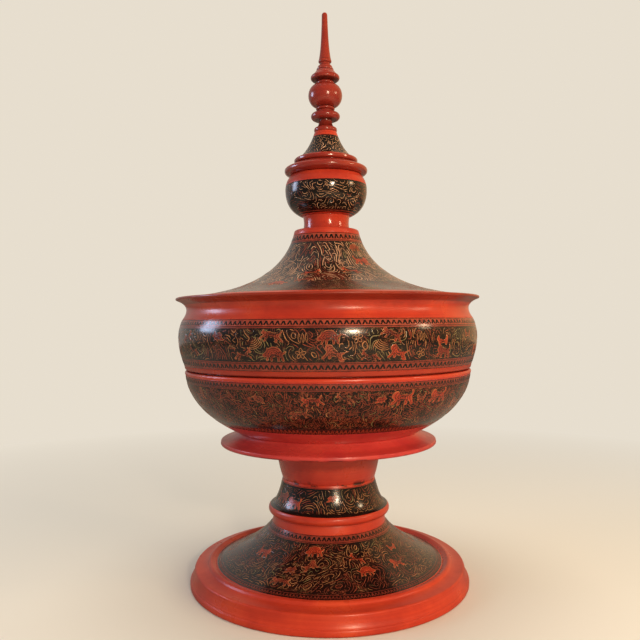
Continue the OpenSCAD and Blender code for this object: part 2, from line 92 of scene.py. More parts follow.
def turned(name, outline, finishes, around=160, cut=0.5):
    """A piece turned about the vertical axis from a closed outline in mm.

    A point's third value is the finish from there to the next point. Each point of the mesh keeps how far the outline
    bends there, from -1 in a crease to 1 on an edge, for the wear on the edges and the painted shade in the creases.
    """
    full_bend, crisp = 0.5, math.radians(38)
    first = next(iter(finishes))
    rows = [(p[0], p[1], p[2] if len(p) > 2 else first) for p in outline]
    area = sum(a[0] * b[1] - b[0] * a[1] for a, b in zip(rows, rows[1:] + rows[:1]))
    if area < 0:
        turned_round = rows[::-1]
        rows = [(p[0], p[1], q[2]) for p, q in zip(turned_round, turned_round[1:] + turned_round[:1])]
    rows = eased(rows, cut)
    verts, rings, edge = [], [], []
    for i, (r, z, _) in enumerate(rows):
        before, after = rows[i - 1], rows[(i + 1) % len(rows)]
        a = (r - before[0], z - before[1])
        b = (after[0] - r, after[1] - z)
        bend = math.atan2(a[0] * b[1] - a[1] * b[0], a[0] * b[0] + a[1] * b[1])
        steps = 1 if r < ON_AXIS else around
        rings.append([len(verts) + k for k in range(steps)])
        bearings = [2 * math.pi * k / around for k in range(steps)]
        verts += [(r * math.sin(t) / MM, -r * math.cos(t) / MM, z / MM) for t in bearings]
        edge += [max(-1.0, min(1.0, bend / full_bend))] * steps
    slots = list(finishes)
    faces, inks = [], []
    for i, (_, _, finish) in enumerate(rows):
        low, high = rings[i], rings[(i + 1) % len(rings)]
        if len(low) == 1 and len(high) == 1:
            continue
        for k in range(around):
            n = (k + 1) % around
            if len(low) == 1:
                faces.append((low[0], high[n], high[k]))
            elif len(high) == 1:
                faces.append((low[k], low[n], high[0]))
            else:
                faces.append((low[k], low[n], high[n], high[k]))
            inks.append(slots.index(finish))
    mesh = bpy.data.meshes.new(name)
    mesh.from_pydata(verts, [], faces)
    for finish in slots:
        mesh.materials.append(finishes[finish])
    mesh.polygons.foreach_set("material_index", inks)
    mesh.attributes.new("edge", "FLOAT", "POINT").data.foreach_set("value", edge)
    mesh.shade_smooth()
    mesh.set_sharp_from_angle(angle=crisp)
    piece = bpy.data.objects.new(name, mesh)
    bpy.context.scene.collection.objects.link(piece)
    return piece


def paint(r, g, b):
    """A colour as it looks on screen, in the linear values that the shader takes."""
    return tuple(c / 255 / 12.92 if c <= 10 else ((c / 255 + 0.055) / 1.055) ** 2.4 for c in (r, g, b)) + (1.0,)


def wired(name):
    """A new material with its shader and two short ways to add and join its nodes."""
    material = bpy.data.materials.new(name)
    material.use_nodes = True
    nodes, links = material.node_tree.nodes, material.node_tree.links
    nodes.clear()
    surface = nodes.new("ShaderNodeOutputMaterial")
    shader = nodes.new("ShaderNodeBsdfPrincipled")
    links.new(shader.outputs["BSDF"], surface.inputs["Surface"])
    return material, shader, nodes, links


def speckle(nodes, links, scale, stretch=(1, 1, 1), detail=3.0, rough=0.55, distortion=0.0):
    """Noise over the piece's own coordinates, stretched along an axis where the grain runs."""
    where = nodes.new("ShaderNodeTexCoord")
    laid = nodes.new("ShaderNodeMapping")
    laid.inputs["Scale"].default_value = stretch
    noise = nodes.new("ShaderNodeTexNoise")
    noise.inputs["Scale"].default_value = scale
    noise.inputs["Detail"].default_value = detail
    noise.inputs["Roughness"].default_value = rough
    noise.inputs["Distortion"].default_value = distortion
    links.new(where.outputs["Object"], laid.inputs["Vector"])
    links.new(laid.outputs["Vector"], noise.inputs["Vector"])
    return noise.outputs["Fac"]


def ramp(nodes, links, value, stops):
    """Colours set along a value."""
    node = nodes.new("ShaderNodeValToRGB")
    while len(node.color_ramp.elements) < len(stops):
        node.color_ramp.elements.new(0.5)
    for element, (place, colour) in zip(node.color_ramp.elements, stops):
        element.position = place
        element.color = colour
    links.new(value, node.inputs["Fac"])
    return node.outputs["Color"]


def spread(nodes, links, value, low, high, low_to, high_to):
    """A value moved from one span to another, held at its ends."""
    node = nodes.new("ShaderNodeMapRange")
    for socket, number in zip(("From Min", "From Max", "To Min", "To Max"), (low, high, low_to, high_to)):
        node.inputs[socket].default_value = number
    links.new(value, node.inputs["Value"])
    return node.outputs["Result"]


def blended(nodes, links, share, under, over):
    """One colour over another by a share; each is a colour or a socket."""
    node = nodes.new("ShaderNodeMix")
    node.data_type = "RGBA"
    links.new(share, node.inputs["Factor"])
    for socket, colour in ((node.inputs[6], under), (node.inputs[7], over)):
        if isinstance(colour, tuple):
            socket.default_value = colour
        else:
            links.new(colour, socket)
    return node.outputs[2]


def times(nodes, links, a, b):
    """One value times another."""
    node = nodes.new("ShaderNodeMath")
    node.operation = "MULTIPLY"
    links.new(a, node.inputs[0])
    links.new(b, node.inputs[1])
    return node.outputs[0]


def bumped(nodes, links, shader, height, strength, distance):
    """The surface made uneven by a value."""
    node = nodes.new("ShaderNodeBump")
    node.inputs["Strength"].default_value = strength
    node.inputs["Distance"].default_value = distance
    links.new(height, node.inputs["Height"])
    links.new(node.outputs["Normal"], shader.inputs["Normal"])


def cinnabar(name, chips=None, depth=1.0, crease_shade=1.0, shine=0.5, cool_light_tint=5, rough=(0.34, 0.25)):
    """Red lacquer: clouded cinnabar with turning lines under the polish, painted shade in the creases, thin on the
    edges.

    chips are two heights in mm: the coat is chipped at the first and whole at the second. A lower depth
    is a darker red, more cool_light_tint paints cool light in as a pinker red, and more crease_shade paints
    darker shade into the creases.
    """
    reds = ((0.28, 174, 49, 29), (0.5, 199, 63, 35), (0.74, 213, 77, 41))
    streak_red, line_red = paint(158 * depth, 38 * depth, 28 * depth), paint(150, 31, 22)
    painted_crease_brown, rubbed_brown = paint(70, 16, 10), paint(118, 30, 16)
    pit_brown, chip_black = paint(96, 20, 12), paint(34, 16, 12)
    material, shader, nodes, links = wired(name)
    cloud = speckle(nodes, links, 26, detail=4)
    # Painted cool light: blue added to each red turns it pinker, standing in for cool light on the lacquer.
    body = ramp(nodes, links, cloud, [(place, paint(r * depth, g * depth, (b + cool_light_tint) * depth))
                                      for place, r, g, b in reds])
    lines = speckle(nodes, links, 1.0, stretch=(14, 14, 1500), detail=2)
    body = blended(nodes, links, spread(nodes, links, lines, 0.45, 0.8, 0, 0.22), body, line_red)
    streaks = speckle(nodes, links, 1.0, stretch=(5, 5, 340), detail=2)
    body = blended(nodes, links, spread(nodes, links, streaks, 0.42, 0.68, 0, 0.24), body, streak_red)
    edge = nodes.new("ShaderNodeAttribute")
    edge.attribute_name = "edge"
    patch = speckle(nodes, links, 120, detail=5)
    # Painted shade: where the outline bends inwards, the red is darkened to a brown, in patches.
    crease = times(nodes, links, spread(nodes, links, edge.outputs["Fac"], -0.15, -0.9 / crease_shade, 0, min(1, crease_shade)),
                   spread(nodes, links, patch, 0.3, 0.6, 0.3 * crease_shade, 1))
    body = blended(nodes, links, crease, body, painted_crease_brown)
    rub = times(nodes, links, spread(nodes, links, edge.outputs["Fac"], 0.35, 1.0, 0, 1),
                spread(nodes, links, patch, 0.55, 0.72, 0, 0.8))
    body = blended(nodes, links, rub, body, rubbed_brown)
    pits = speckle(nodes, links, 700, detail=2)
    body = blended(nodes, links, spread(nodes, links, pits, 0.72, 0.78, 0, 0.5), body, pit_brown)
    if chips:
        low, high = chips
        where = nodes.new("ShaderNodeTexCoord")
        split = nodes.new("ShaderNodeSeparateXYZ")
        links.new(where.outputs["Object"], split.inputs[0])
        near = spread(nodes, links, split.outputs["Z"], low / MM, high / MM, 1, 0)
        flakes = speckle(nodes, links, 90, detail=6)
        lost = times(nodes, links, near, spread(nodes, links, flakes, 0.52, 0.58, 0, 1))
        body = blended(nodes, links, lost, body, chip_black)
    links.new(body, shader.inputs["Base Color"])
    shader.inputs["Specular IOR Level"].default_value = shine
    links.new(spread(nodes, links, cloud, 0.3, 0.75, *rough), shader.inputs["Roughness"])
    bumped(nodes, links, shader, lines, 0.10, 0.0006)
    return material


red = cinnabar("red_lacquer")
moulding_red = cinnabar("red_lacquer_moulding", crease_shade=0.4, shine=0.3)
foot_outline = ([(110.5, 0), (148.8, 0), (150, 1.2), (150, 4.4), (149.4, 5.9), (148.3, 6.5)]
                + sweep((148.2, 7.1), (146.2, 10.6), (145.3, 16.6), 7)
                + sweep((145.1, 17.2), (144.9, 18.5), (143.6, 18.8), 3)
                + sweep((142.8, 18.9), (134.4, 19.3), (131.7, 21), 6)
                + sweep((131.3, 21.5), (130.1, 24.1), (127.4, 23.9), 5)
                + [(126, 23.3), (124.2, 22.4), (122.5, 21.5), (122.5, 15.5), (110.5, 15.5)])
foot_ring = turned("foot_ring_moulding", foot_outline, {"red": moulding_red}, around=192, cut=0.35)
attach(foot_ring, "stand")
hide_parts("foot_ring")


# Foot wall: a hollow flared cone of coiled bamboo, coated in black lacquer and set in the moulding.
# Its ornament is scratched through the black and filled with red, ochre and green pigment.

def banded(curve, levels):
    """A wall's curve with a finish for each band: levels are (height where the band ends, its finish)."""
    rows, k = [(curve[0][0], curve[0][1], levels[0][1])], 0
    for a, b in zip(curve, curve[1:]):
        while k < len(levels) - 1 and levels[k][0] <= b[1]:
            t = (levels[k][0] - a[1]) / (b[1] - a[1])
            rows.append((a[0] + (b[0] - a[0]) * t, levels[k][0], levels[k + 1][1]))
            k += 1
        if abs(rows[-1][1] - b[1]) > 0.02:
            rows.append((b[0], b[1], levels[k][1]))
    return rows


def black_lacquer(name, scratches=(), shine=0.5):
    """Black lacquer: deep and polished; on a crowded panel, fine lines of old pigment run through it.

    scratches are (scale of the lines, their width, their colour, how much of the panel is left without).
    """
    material, shader, nodes, links = wired(name)
    cloud = speckle(nodes, links, 30, detail=4)
    body = ramp(nodes, links, cloud, [(0.3, paint(17, 13, 12)), (0.7, paint(30, 22, 19))])
    for scale, width, colour, bare in scratches:
        hill = speckle(nodes, links, scale, detail=1.0, rough=0.4, distortion=1.6)
        line = nodes.new("ShaderNodeMath")
        line.operation = "COMPARE"
        line.inputs[1].default_value = 0.5
        line.inputs[2].default_value = width
        links.new(hill, line.inputs[0])
        patches = speckle(nodes, links, 60 + scale / 9, detail=2)
        here = spread(nodes, links, patches, bare, bare + 0.12, 0, 0.7)
        body = blended(nodes, links, times(nodes, links, line.outputs[0], here), body, colour)
    links.new(body, shader.inputs["Base Color"])
    links.new(spread(nodes, links, cloud, 0.3, 0.75, 0.2, 0.12), shader.inputs["Roughness"])
    shader.inputs["Specular IOR Level"].default_value = shine
    turning = speckle(nodes, links, 1.0, stretch=(16, 16, 700), detail=2)
    bumped(nodes, links, shader, turning, 0.06, 0.0006)
    return material


def pigment(name, dark, light):
    """Dry mineral colour rubbed into the scratched lines and polished level, uneven in its strength."""
    material, shader, nodes, links = wired(name)
    cloud = speckle(nodes, links, 160, detail=4)
    links.new(ramp(nodes, links, cloud, [(0.3, paint(*dark)), (0.7, paint(*light))]), shader.inputs["Base Color"])
    links.new(spread(nodes, links, cloud, 0.3, 0.7, 0.28, 0.18), shader.inputs["Roughness"])
    shader.inputs["Specular IOR Level"].default_value = 0.5
    return material


line_black = black_lacquer("black_lacquer")
scratched = [(210, 0.022, paint(132, 66, 46), 0.46), (300, 0.018, paint(140, 104, 70), 0.52)]
panel = black_lacquer("black_lacquer_scratched", scratched)
band_red = pigment("faded_red_band", (134, 50, 37), (176, 80, 58))
band_dull = pigment("dull_red_band", (108, 40, 30), (148, 62, 46))
vermilion = pigment("vermilion_pigment", (140, 45, 28), (184, 68, 42))
rust = pigment("rust_pigment", (106, 38, 27), (150, 58, 40))
ochre = pigment("ochre_pigment", (142, 86, 53), (196, 136, 90))
olive = pigment("olive_pigment", (106, 92, 58), (152, 134, 90))
russet = pigment("russet_pigment", (118, 48, 33), (162, 76, 52))
flame_pink = pigment("pinkish_ochre_pigment", (176, 120, 90), (234, 182, 142))
faded = pigment("faded_border", (92, 34, 25), (132, 54, 39))
ink = pigment("ink_lines", (20, 13, 11), (40, 24, 19))


def flowing(points, per=4, closed=False):
    """A smooth line through the points."""
    n = len(points)
    pick = (lambda k: points[k % n]) if closed else (lambda k: points[max(0, min(n - 1, k))])
    line = []
    for i in range(n if closed else n - 1):
        p = [pick(i + k) for k in (-1, 0, 1, 2)]
        for s in range(per):
            t = s / per
            line.append(tuple(0.5 * (2 * p[1][c] + (p[2][c] - p[0][c]) * t
                                     + (2 * p[0][c] - 5 * p[1][c] + 4 * p[2][c] - p[3][c]) * t * t
                                     + (3 * p[1][c] - p[0][c] - 3 * p[2][c] + p[3][c]) * t ** 3) for c in (0, 1)))
    return line if closed else line + [points[-1]]


def brushed(path, width, closed=False):
    """One brush line as a low closed ridge along a path in mm, tapering to its ends."""
    crest, foot, tip, thinnest = 0.05, -0.045, 0.02, 0.55
    n, verts, rings = len(path), [], []
    for i, (x, y) in enumerate(path):
        if not closed and i in (0, n - 1):
            rings.append([len(verts)])
            verts.append((x, y, tip))
            continue
        a, b = path[i - 1], path[(i + 1) % n]
        length = math.hypot(b[0] - a[0], b[1] - a[1]) or 1.0
        fullness = 1 if closed else thinnest + (1 - thinnest) * math.sin(math.pi * i / (n - 1))
        w = width / 2 * fullness
        nx, ny = -(b[1] - a[1]) / length * w, (b[0] - a[0]) / length * w
        rings.append([len(verts) + k for k in range(3)])
        verts += [(x + nx, y + ny, foot), (x, y, crest), (x - nx, y - ny, foot)]
    faces = []
    for a, b in zip(rings, rings[1:] + rings[:1] if closed else rings[1:]):
        if len(a) == 1:
            faces += [(a[0], b[1], b[0]), (a[0], b[2], b[1]), (a[0], b[0], b[2])]
        elif len(b) == 1:
            faces += [(a[1], b[0], a[0]), (a[2], b[0], a[1]), (a[0], b[0], a[2])]
        else:
            faces += [(a[1], b[1], b[0], a[0]), (a[2], b[2], b[1], a[1]), (a[0], b[0], b[2], a[2])]
    return verts, faces


def filled(outline, apart=3.0, top=0.06):
    """A flat figure cut to an outline in mm and closed under it, with points inside so that it bends to the wall."""
    half_wide, half_tall, deep = 14, 10, 0.5
    n, ends = len(outline), list(zip(outline, outline[1:] + outline[:1]))
    columns, rows = int(half_wide / apart), int(half_tall / apart)
    inner = []
    for i in range(-columns, columns + 1):
        for j in range(-rows, rows + 1):
            x, y = (i + 0.5 * (j % 2)) * apart, j * apart
            crossed = [(a[1] > y) != (b[1] > y) and x < a[0] + (b[0] - a[0]) * (y - a[1]) / (b[1] - a[1])
                       for a, b in ends]
            if sum(crossed) % 2:
                inner.append((x, y))
    flat, _, faces, *_ = delaunay_2d_cdt([Vector(p) for p in outline + inner],
                                         [(k, (k + 1) % n) for k in range(n)], [], 1, 1e-4)
    count = len(flat)
    ways = {(f[k], f[(k + 1) % 3]) for f in faces for k in range(3)}
    rim = sorted((a, b) for a, b in ways if (b, a) not in ways)
    verts = [(v.x, v.y, top) for v in flat] + [(v.x, v.y, top - deep) for v in flat]
    under = [tuple(i + count for i in f[::-1]) for f in faces]
    sides = [(a + count, b + count, b, a) for a, b in rim]
    return verts, [tuple(f) for f in faces] + under + sides


def together(*shapes):
    """Several shapes as one motif."""
    verts, faces = [], []
    for v, f in shapes:
        faces += [tuple(i + len(verts) for i in face) for face in f]
        verts += v
    return verts, faces


def mirrored(points):
    """A closed outline turned to face the other way."""
    return [(-x, y) for x, y in points][::-1]


# The animals, each facing left, as outlines in mm about its middle.
beasts = {
    "boar": [(-10.8, -1.8), (-10.4, -0.2), (-8.2, 1.4), (-6.6, 3.6), (-6, 5.6), (-4.8, 4.8), (-2, 6.2),
             (2, 6.2), (5.4, 4.6), (7.6, 1.8), (9.6, 1.4), (10.8, 2.8), (11.2, 1.6), (9.8, 0), (8.2, -0.6),
             (8.6, -3.4), (9.4, -6.2), (7.6, -6.4), (6.6, -3.4), (5.4, -2.6), (5, -6.2), (3.4, -6.4),
             (3, -2.8), (-0.6, -2.8), (-1.6, -6.2), (-3.2, -6.4), (-3.2, -2.8), (-4.6, -3), (-6.2, -6),
             (-7.6, -5.8), (-6.4, -2.6), (-8.6, -2.8)],
    "leaper": [(-10.2, 2.2), (-9.2, 3.6), (-8, 5.4), (-7, 4.2), (-5, 3.6), (-2, 4), (1.5, 3.2), (4.2, 3.4),
               (6, 2.6), (8.2, 4.2), (9.6, 6.4), (9.4, 4.2), (7.6, 1.4), (8.2, -0.6), (10.4, -2.2),
               (11.6, -4.2), (9.6, -3.8), (7.2, -2), (5.6, -1.4), (6.2, -3.6), (5, -5.2), (3.8, -4.2),
               (4, -2), (2.4, -0.9), (-1.6, -0.7), (-3.4, -1.4), (-4.2, -3.6), (-6, -5), (-6.6, -4.2),
               (-5.4, -2.4), (-5.8, -1.2), (-8.4, -1.8), (-10.8, -3.6), (-11.4, -2.8), (-9.4, -0.8),
               (-7, 0.8), (-8.2, 1.2)],
    "bird": [(-6.5, 1.1), (-4.2, 2.7), (-3.4, 5.2), (-0.8, 2.7), (2.2, 3.6), (6.1, 0.6), (4.5, -0.9),
             (8.1, -3.8), (4.3, -3.8), (1.3, -2.7), (-0.7, -4.5), (-1.8, -2.2), (-5, -2.9), (-3.8, -0.7)],
    "lion": [(-10.4, 1.8), (-10.2, 4), (-9, 6.2), (-6.8, 7.2), (-4.6, 6.6), (-3, 4.8), (0, 3.9), (3.6, 3.7),
             (6.6, 3), (8.4, 3.8), (9.4, 5.8), (8.6, 7), (9.8, 7.6), (11, 6.2), (10.4, 3.4), (9, 1),
             (9.6, -1.6), (11, -4.4), (11.4, -6.4), (9, -6.6), (7.8, -4.2), (6, -2.2), (5, -3.8), (5, -6.4),
             (2.6, -6.6), (2.4, -4), (2, -1.9), (-0.8, -1.9), (-2, -3.8), (-2.8, -6.4), (-5.2, -6.6),
             (-4.8, -4), (-5, -2.2), (-7, -3.4), (-9, -5.4), (-11.2, -4.8), (-9.8, -2.4), (-8.2, -0.4),
             (-9.4, 0.6)],
    "hare": [(-5.6, 4.2), (-4.2, 1.8), (-2, 0.8), (1.6, 0.6), (4, 1.8), (5, 4.6), (6.4, 3.8), (6, 0),
             (5.4, -3.2), (3.6, -3.4), (2.6, -2), (-2, -2.2), (-3, -3.8), (-5, -3.2), (-5.6, -0.8),
             (-7.4, 1)],
    "deer": [(-9.3, 3.3), (-8.2, 4.2), (-7.6, 5.7), (-8.5, 7.2), (-7.3, 7), (-6.9, 6), (-6, 7.5), (-5.4, 6.9),
             (-6, 5.2), (-4.8, 3.3), (-3.1, 2), (-0.4, 1.6), (2.6, 2.1), (5, 1.6), (6.2, 2.9), (6.6, 1.6),
             (6.4, 0.3), (8, -1.2), (10, -2.8), (10.5, -4), (8.5, -3.3), (6, -1.7), (4.6, -1.2), (5.4, -3.3),
             (6.4, -5.1), (5.1, -5.2), (3.6, -3), (2.7, -1), (0, -0.8), (-2.4, -0.5), (-4.2, -1.5),
             (-7, -1.8), (-8.8, -3.3), (-9.4, -2.5), (-7.6, -0.9), (-5.1, 0.2), (-5.5, 1.5), (-6.9, 2.4),
             (-8.5, 2.2)],
    "elephant": [(-8.6, -5), (-7.6, -5.5), (-7, -2.6), (-6.8, -0.4), (-6.2, -2.7), (-5.1, -2.5), (-5, -5.8),
                 (-2.7, -5.8), (-2.5, -2.5), (2, -2.4), (2.5, -5.8), (5, -5.8), (5.1, -3.4), (5.7, -5.7),
                 (7, -5.7), (6.8, -1.2), (8.1, -2.7), (7.4, 0.8), (6, 3.4), (3, 4.8), (-0.8, 4.6), (-3, 3.8),
                 (-4.4, 5), (-6.4, 4.8), (-7.8, 3.3), (-8.4, 1), (-8.7, -2)],
    "strider": [(-4.4, 7.1), (-6.6, 6.2), (-7.4, 3.2), (-6.1, 1.9), (-6.6, -0.2), (-9.4, -3), (-10, -4.6),
                (-7.6, -4), (-4.6, -1.6), (-4.8, -4.2), (-3, -4.6), (-1.4, -2.3), (1.4, -2.8), (3, -3.6),
                (4.8, -6.8), (7, -7.2), (8.7, -6.6), (7, -4.4), (6.4, -1.6), (8.4, -0.4), (10.4, 1.6),
                (11.4, 1), (9.4, 0.6), (5.4, 0.6), (3, 1.5), (0.4, 3.6), (-1, 5.2), (-2, 6.8)],
}
kinds = [(kind, way) for kind in beasts for way in ("left", "right")]
slim = {"deer": (8, 4.6), "leaper": (9, 4.4), "strider": (8.4, 6.6)}
broad = (9.4, 6.4)
reach = [slim.get(kind, broad) for kind, _ in kinds]  # half the room that each takes, in mm
rim_width, ink_width = 0.5, 0.95
bodies_of_beasts, rims_of_beasts, marks_of_beasts = [], [], []
for kind, way in kinds:
    shape = beasts[kind] if way == "left" else mirrored(beasts[kind])
    smooth = flowing(shape, 2, closed=True)
    bodies_of_beasts.append(filled(smooth))
    rims_of_beasts.append(brushed(smooth, rim_width, closed=True))
    inside = [[(share * x, share * y + 0.4) for x, y in shape] for share in (0.76, 0.5, 0.26)]
    marks_of_beasts.append(together(*[brushed(line, ink_width, closed=True) for line in inside]))

tooth_wide, tooth_tall = 5.5, 4.6
teeth = [filled([(-tooth_wide / 2, -tooth_tall / 2), (-1.1, -tooth_tall / 2), (0, 0.2), (1.1, -tooth_tall / 2),
                 (tooth_wide / 2, -tooth_tall / 2), (0.85, tooth_tall / 2), (-0.85, tooth_tall / 2)], apart=20)]

# One tree lays any motif on any wall: each mark says where on the wall, which motif, how turned and how
# large. A motif's own x runs round the wall, its y up the wall and its z out of it.
tree = bpy.data.node_groups.new("lay_on_wall", "GeometryNodeTree")
for title, kind in (("Marks", "Geometry"), ("Motifs", "Collection"), ("Wall", "Object"), ("Proud", "Float"),
                    ("Pigment", "Material")):
    tree.interface.new_socket(title, in_out="INPUT", socket_type="NodeSocket" + kind)
tree.interface.new_socket("Ornament", in_out="OUTPUT", socket_type="NodeSocketGeometry")
given, result = tree.nodes.new("NodeGroupInput"), tree.nodes.new("NodeGroupOutput")
join = tree.links.new


def read(title, data_type):
    """A value that each mark carries."""
    node = tree.nodes.new("GeometryNodeInputNamedAttribute")
    node.data_type = data_type
    node.inputs["Name"].default_value = title
    return node.outputs["Attribute"]


def sums(operation, a, b=None):
    """One step of arithmetic in the tree; a and b are numbers or sockets."""
    node = tree.nodes.new("ShaderNodeMath")
    node.operation = operation
    for socket, value in zip(node.inputs, (a, b)):
        if isinstance(value, (int, float)):
            socket.default_value = value
        elif value is not None:
            join(value, socket)
    return node.outputs[0]


chosen = tree.nodes.new("GeometryNodeCollectionInfo")
chosen.inputs["Separate Children"].default_value = True
chosen.inputs["Reset Children"].default_value = True
join(given.outputs["Motifs"], chosen.inputs["Collection"])
placed = tree.nodes.new("GeometryNodeInstanceOnPoints")
placed.inputs["Pick Instance"].default_value = True
turn = tree.nodes.new("ShaderNodeCombineXYZ")
join(read("turn", "FLOAT"), turn.inputs["Z"])
join(given.outputs["Marks"], placed.inputs["Points"])
join(chosen.outputs[0], placed.inputs["Instance"])
join(read("pick", "INT"), placed.inputs["Instance Index"])
join(turn.outputs[0], placed.inputs["Rotation"])
join(read("size", "FLOAT_VECTOR"), placed.inputs["Scale"])
real = tree.nodes.new("GeometryNodeRealizeInstances")
join(placed.outputs[0], real.inputs[0])
spot, laid_out = tree.nodes.new("GeometryNodeInputPosition"), tree.nodes.new("ShaderNodeSeparateXYZ")
join(spot.outputs[0], laid_out.inputs[0])
wall_of = tree.nodes.new("GeometryNodeObjectInfo")
join(given.outputs["Wall"], wall_of.inputs["Object"])
along = tree.nodes.new("GeometryNodeSampleCurve")
along.mode = "LENGTH"
along.use_all_curves = True
join(wall_of.outputs["Geometry"], along.inputs["Curves"])
join(laid_out.outputs["Y"], along.inputs["Length"])
foot_at, lean = tree.nodes.new("ShaderNodeSeparateXYZ"), tree.nodes.new("ShaderNodeSeparateXYZ")
join(along.outputs["Position"], foot_at.inputs[0])
join(along.outputs["Tangent"], lean.inputs[0])
bearing = sums("ADD", read("bearing", "FLOAT"), sums("DIVIDE", laid_out.outputs["X"], foot_at.outputs["X"]))
height = sums("ADD", laid_out.outputs["Z"], given.outputs["Proud"])
radius = sums("ADD", foot_at.outputs["X"], sums("MULTIPLY", lean.outputs["Z"], height))
level = sums("SUBTRACT", foot_at.outputs["Z"], sums("MULTIPLY", lean.outputs["X"], height))
there = tree.nodes.new("ShaderNodeCombineXYZ")
join(sums("MULTIPLY", radius, sums("SINE", bearing)), there.inputs["X"])
join(sums("MULTIPLY", radius, sums("MULTIPLY", sums("COSINE", bearing), -1.0)), there.inputs["Y"])
join(level, there.inputs["Z"])
moved = tree.nodes.new("GeometryNodeSetPosition")
join(real.outputs[0], moved.inputs["Geometry"])
join(there.outputs[0], moved.inputs["Position"])
dyed = tree.nodes.new("GeometryNodeSetMaterial")
join(moved.outputs[0], dyed.inputs["Geometry"])
join(given.outputs["Pigment"], dyed.inputs["Material"])
join(dyed.outputs[0], result.inputs["Ornament"])
socket_of = {item.name: item.identifier for item in tree.interface.items_tree if item.in_out == "INPUT"}


def ornament(name, wall, motifs, marks, colour, body, proud=0.0):
    """Motifs laid on a wall in one pigment, proud of it by some mm.

    A mark is (bearing in radians, mm up the wall, which motif, turn in radians, size across, size up).
    """
    scene = bpy.context.scene.collection
    kit = bpy.data.collections.new(name + "_kit")
    scene.children.link(kit)
    for i, (verts, faces) in enumerate(motifs):
        mesh = bpy.data.meshes.new(name)
        mesh.from_pydata([(x / MM, y / MM, z / MM) for x, y, z in verts], [], faces)
        kit.objects.link(bpy.data.objects.new(f"{i:02d}_{name}_motif", mesh))
    curve = bpy.data.curves.new(name + "_wall", "CURVE")
    curve.dimensions = "3D"
    run = curve.splines.new("POLY")
    run.points.add(len(wall) - 1)
    for point, (r, z) in zip(run.points, wall):
        point.co = (r / MM, 0, z / MM, 1)
    guide = bpy.data.objects.new(name + "_wall", curve)
    kit_objects = list(kit.objects)
    scene.objects.link(guide)
    mesh = bpy.data.meshes.new(name)
    mesh.from_pydata([(0, m[1] / MM, 0) for m in marks], [], [])
    for title, kind, key, values in (
            ("bearing", "FLOAT", "value", [m[0] for m in marks]), ("pick", "INT", "value", [m[2] for m in marks]),
            ("turn", "FLOAT", "value", [m[3] for m in marks]),
            ("size", "FLOAT_VECTOR", "vector", [c for m in marks for c in (m[4], m[5], 1.0)])):
        mesh.attributes.new(title, kind, "POINT").data.foreach_set(key, values)
    piece = bpy.data.objects.new(name, mesh)
    scene.objects.link(piece)
    laying = piece.modifiers.new("lay_on_wall", "NODES")
    laying.node_group = tree
    for title, value in (("Motifs", kit), ("Wall", guide), ("Proud", proud / MM), ("Pigment", colour)):
        laying[socket_of[title]] = value
    done = bpy.data.meshes.new_from_object(piece.evaluated_get(bpy.context.evaluated_depsgraph_get()))
    piece.modifiers.clear()
    piece.data = done
    done.name = name
    for title in ("bearing", "pick", "turn", "size"):
        if title in done.attributes:
            done.attributes.remove(done.attributes[title])
    done.shade_smooth()
    done.set_sharp_from_angle(angle=math.radians(35))
    for left in kit_objects + [guide]:
        bpy.data.objects.remove(left)
    bpy.data.collections.remove(kit)
    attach(piece, body)


def climbed(wall, z):
    """How far up a wall a height lies, and the wall's radius there, in mm."""
    gone = 0.0
    for a, b in zip(wall, wall[1:]):
        step = math.dist(a, b)
        if b[1] >= z:
            t = (z - a[1]) / (b[1] - a[1])
            return gone + step * t, a[0] + (b[0] - a[0]) * t
        gone += step
    return gone, wall[-1][0]


def girth(wall, up):
    """The wall's radius at a distance up it, in mm."""
    for a, b in zip(wall, wall[1:]):
        step = math.dist(a, b)
        if up <= step:
            return a[0] + (b[0] - a[0]) * up / step
        up -= step
    return wall[-1][0]


def border(wall, low, high, pitch):
    """Marks of one tooth side by side all round a band between two heights, each a little uneven."""
    a, b = climbed(wall, low), climbed(wall, high)
    around = math.pi * (a[1] + b[1])
    n = round(around / pitch)
    chance = random.Random(n)
    return [(2 * math.pi * (k + chance.uniform(-0.05, 0.05)) / n, (a[0] + b[0]) / 2, 0, chance.uniform(-0.06, 0.06),
             around / n / tooth_wide * chance.uniform(0.93, 1.05),
             (b[0] - a[0]) * chance.uniform(0.84, 0.92) / tooth_tall) for k in range(n)]


def beast_rows(wall, rows, seed, set_by_hand=(), spare=None):
    """Animals in rows all round a wall, after those that are listed one by one.

    A row is (mm up the wall, mm from one to the next, size). A listed one is (bearing in degrees, mm
    up the wall, kind, way it faces, size, turn, pigment). Rows stay out of the spare span of degrees.
    """
    chance = random.Random(seed)
    marks = [(math.radians(deg), up, kinds.index((kind, way)), turned_by, size, size, colour)
             for deg, up, kind, way, size, turned_by, colour in set_by_hand]
    for up, gap, size in rows:
        r = girth(wall, up)
        n = round(2 * math.pi * r / gap)
        for k in range(n):
            at = (k + chance.uniform(-0.18, 0.18)) * 2 * math.pi / n - math.pi
            lift = up + chance.uniform(-1.2, 1.2)
            pick = chance.randrange(len(kinds))
            grown = size * chance.uniform(0.88, 1.1)
            tone = chance.random()
            if spare and spare[0] < math.degrees(at) < spare[1]:
                continue
            colour = "red" if tone < 0.3 else "rust" if tone < 0.65 else "russet"
            marks.append((at, lift, pick, chance.uniform(-0.12, 0.12), grown, grown, colour))
    return marks


def between(a, b):
    """The angle from b to a, the short way round."""
    return (a - b + math.pi) % (2 * math.pi) - math.pi


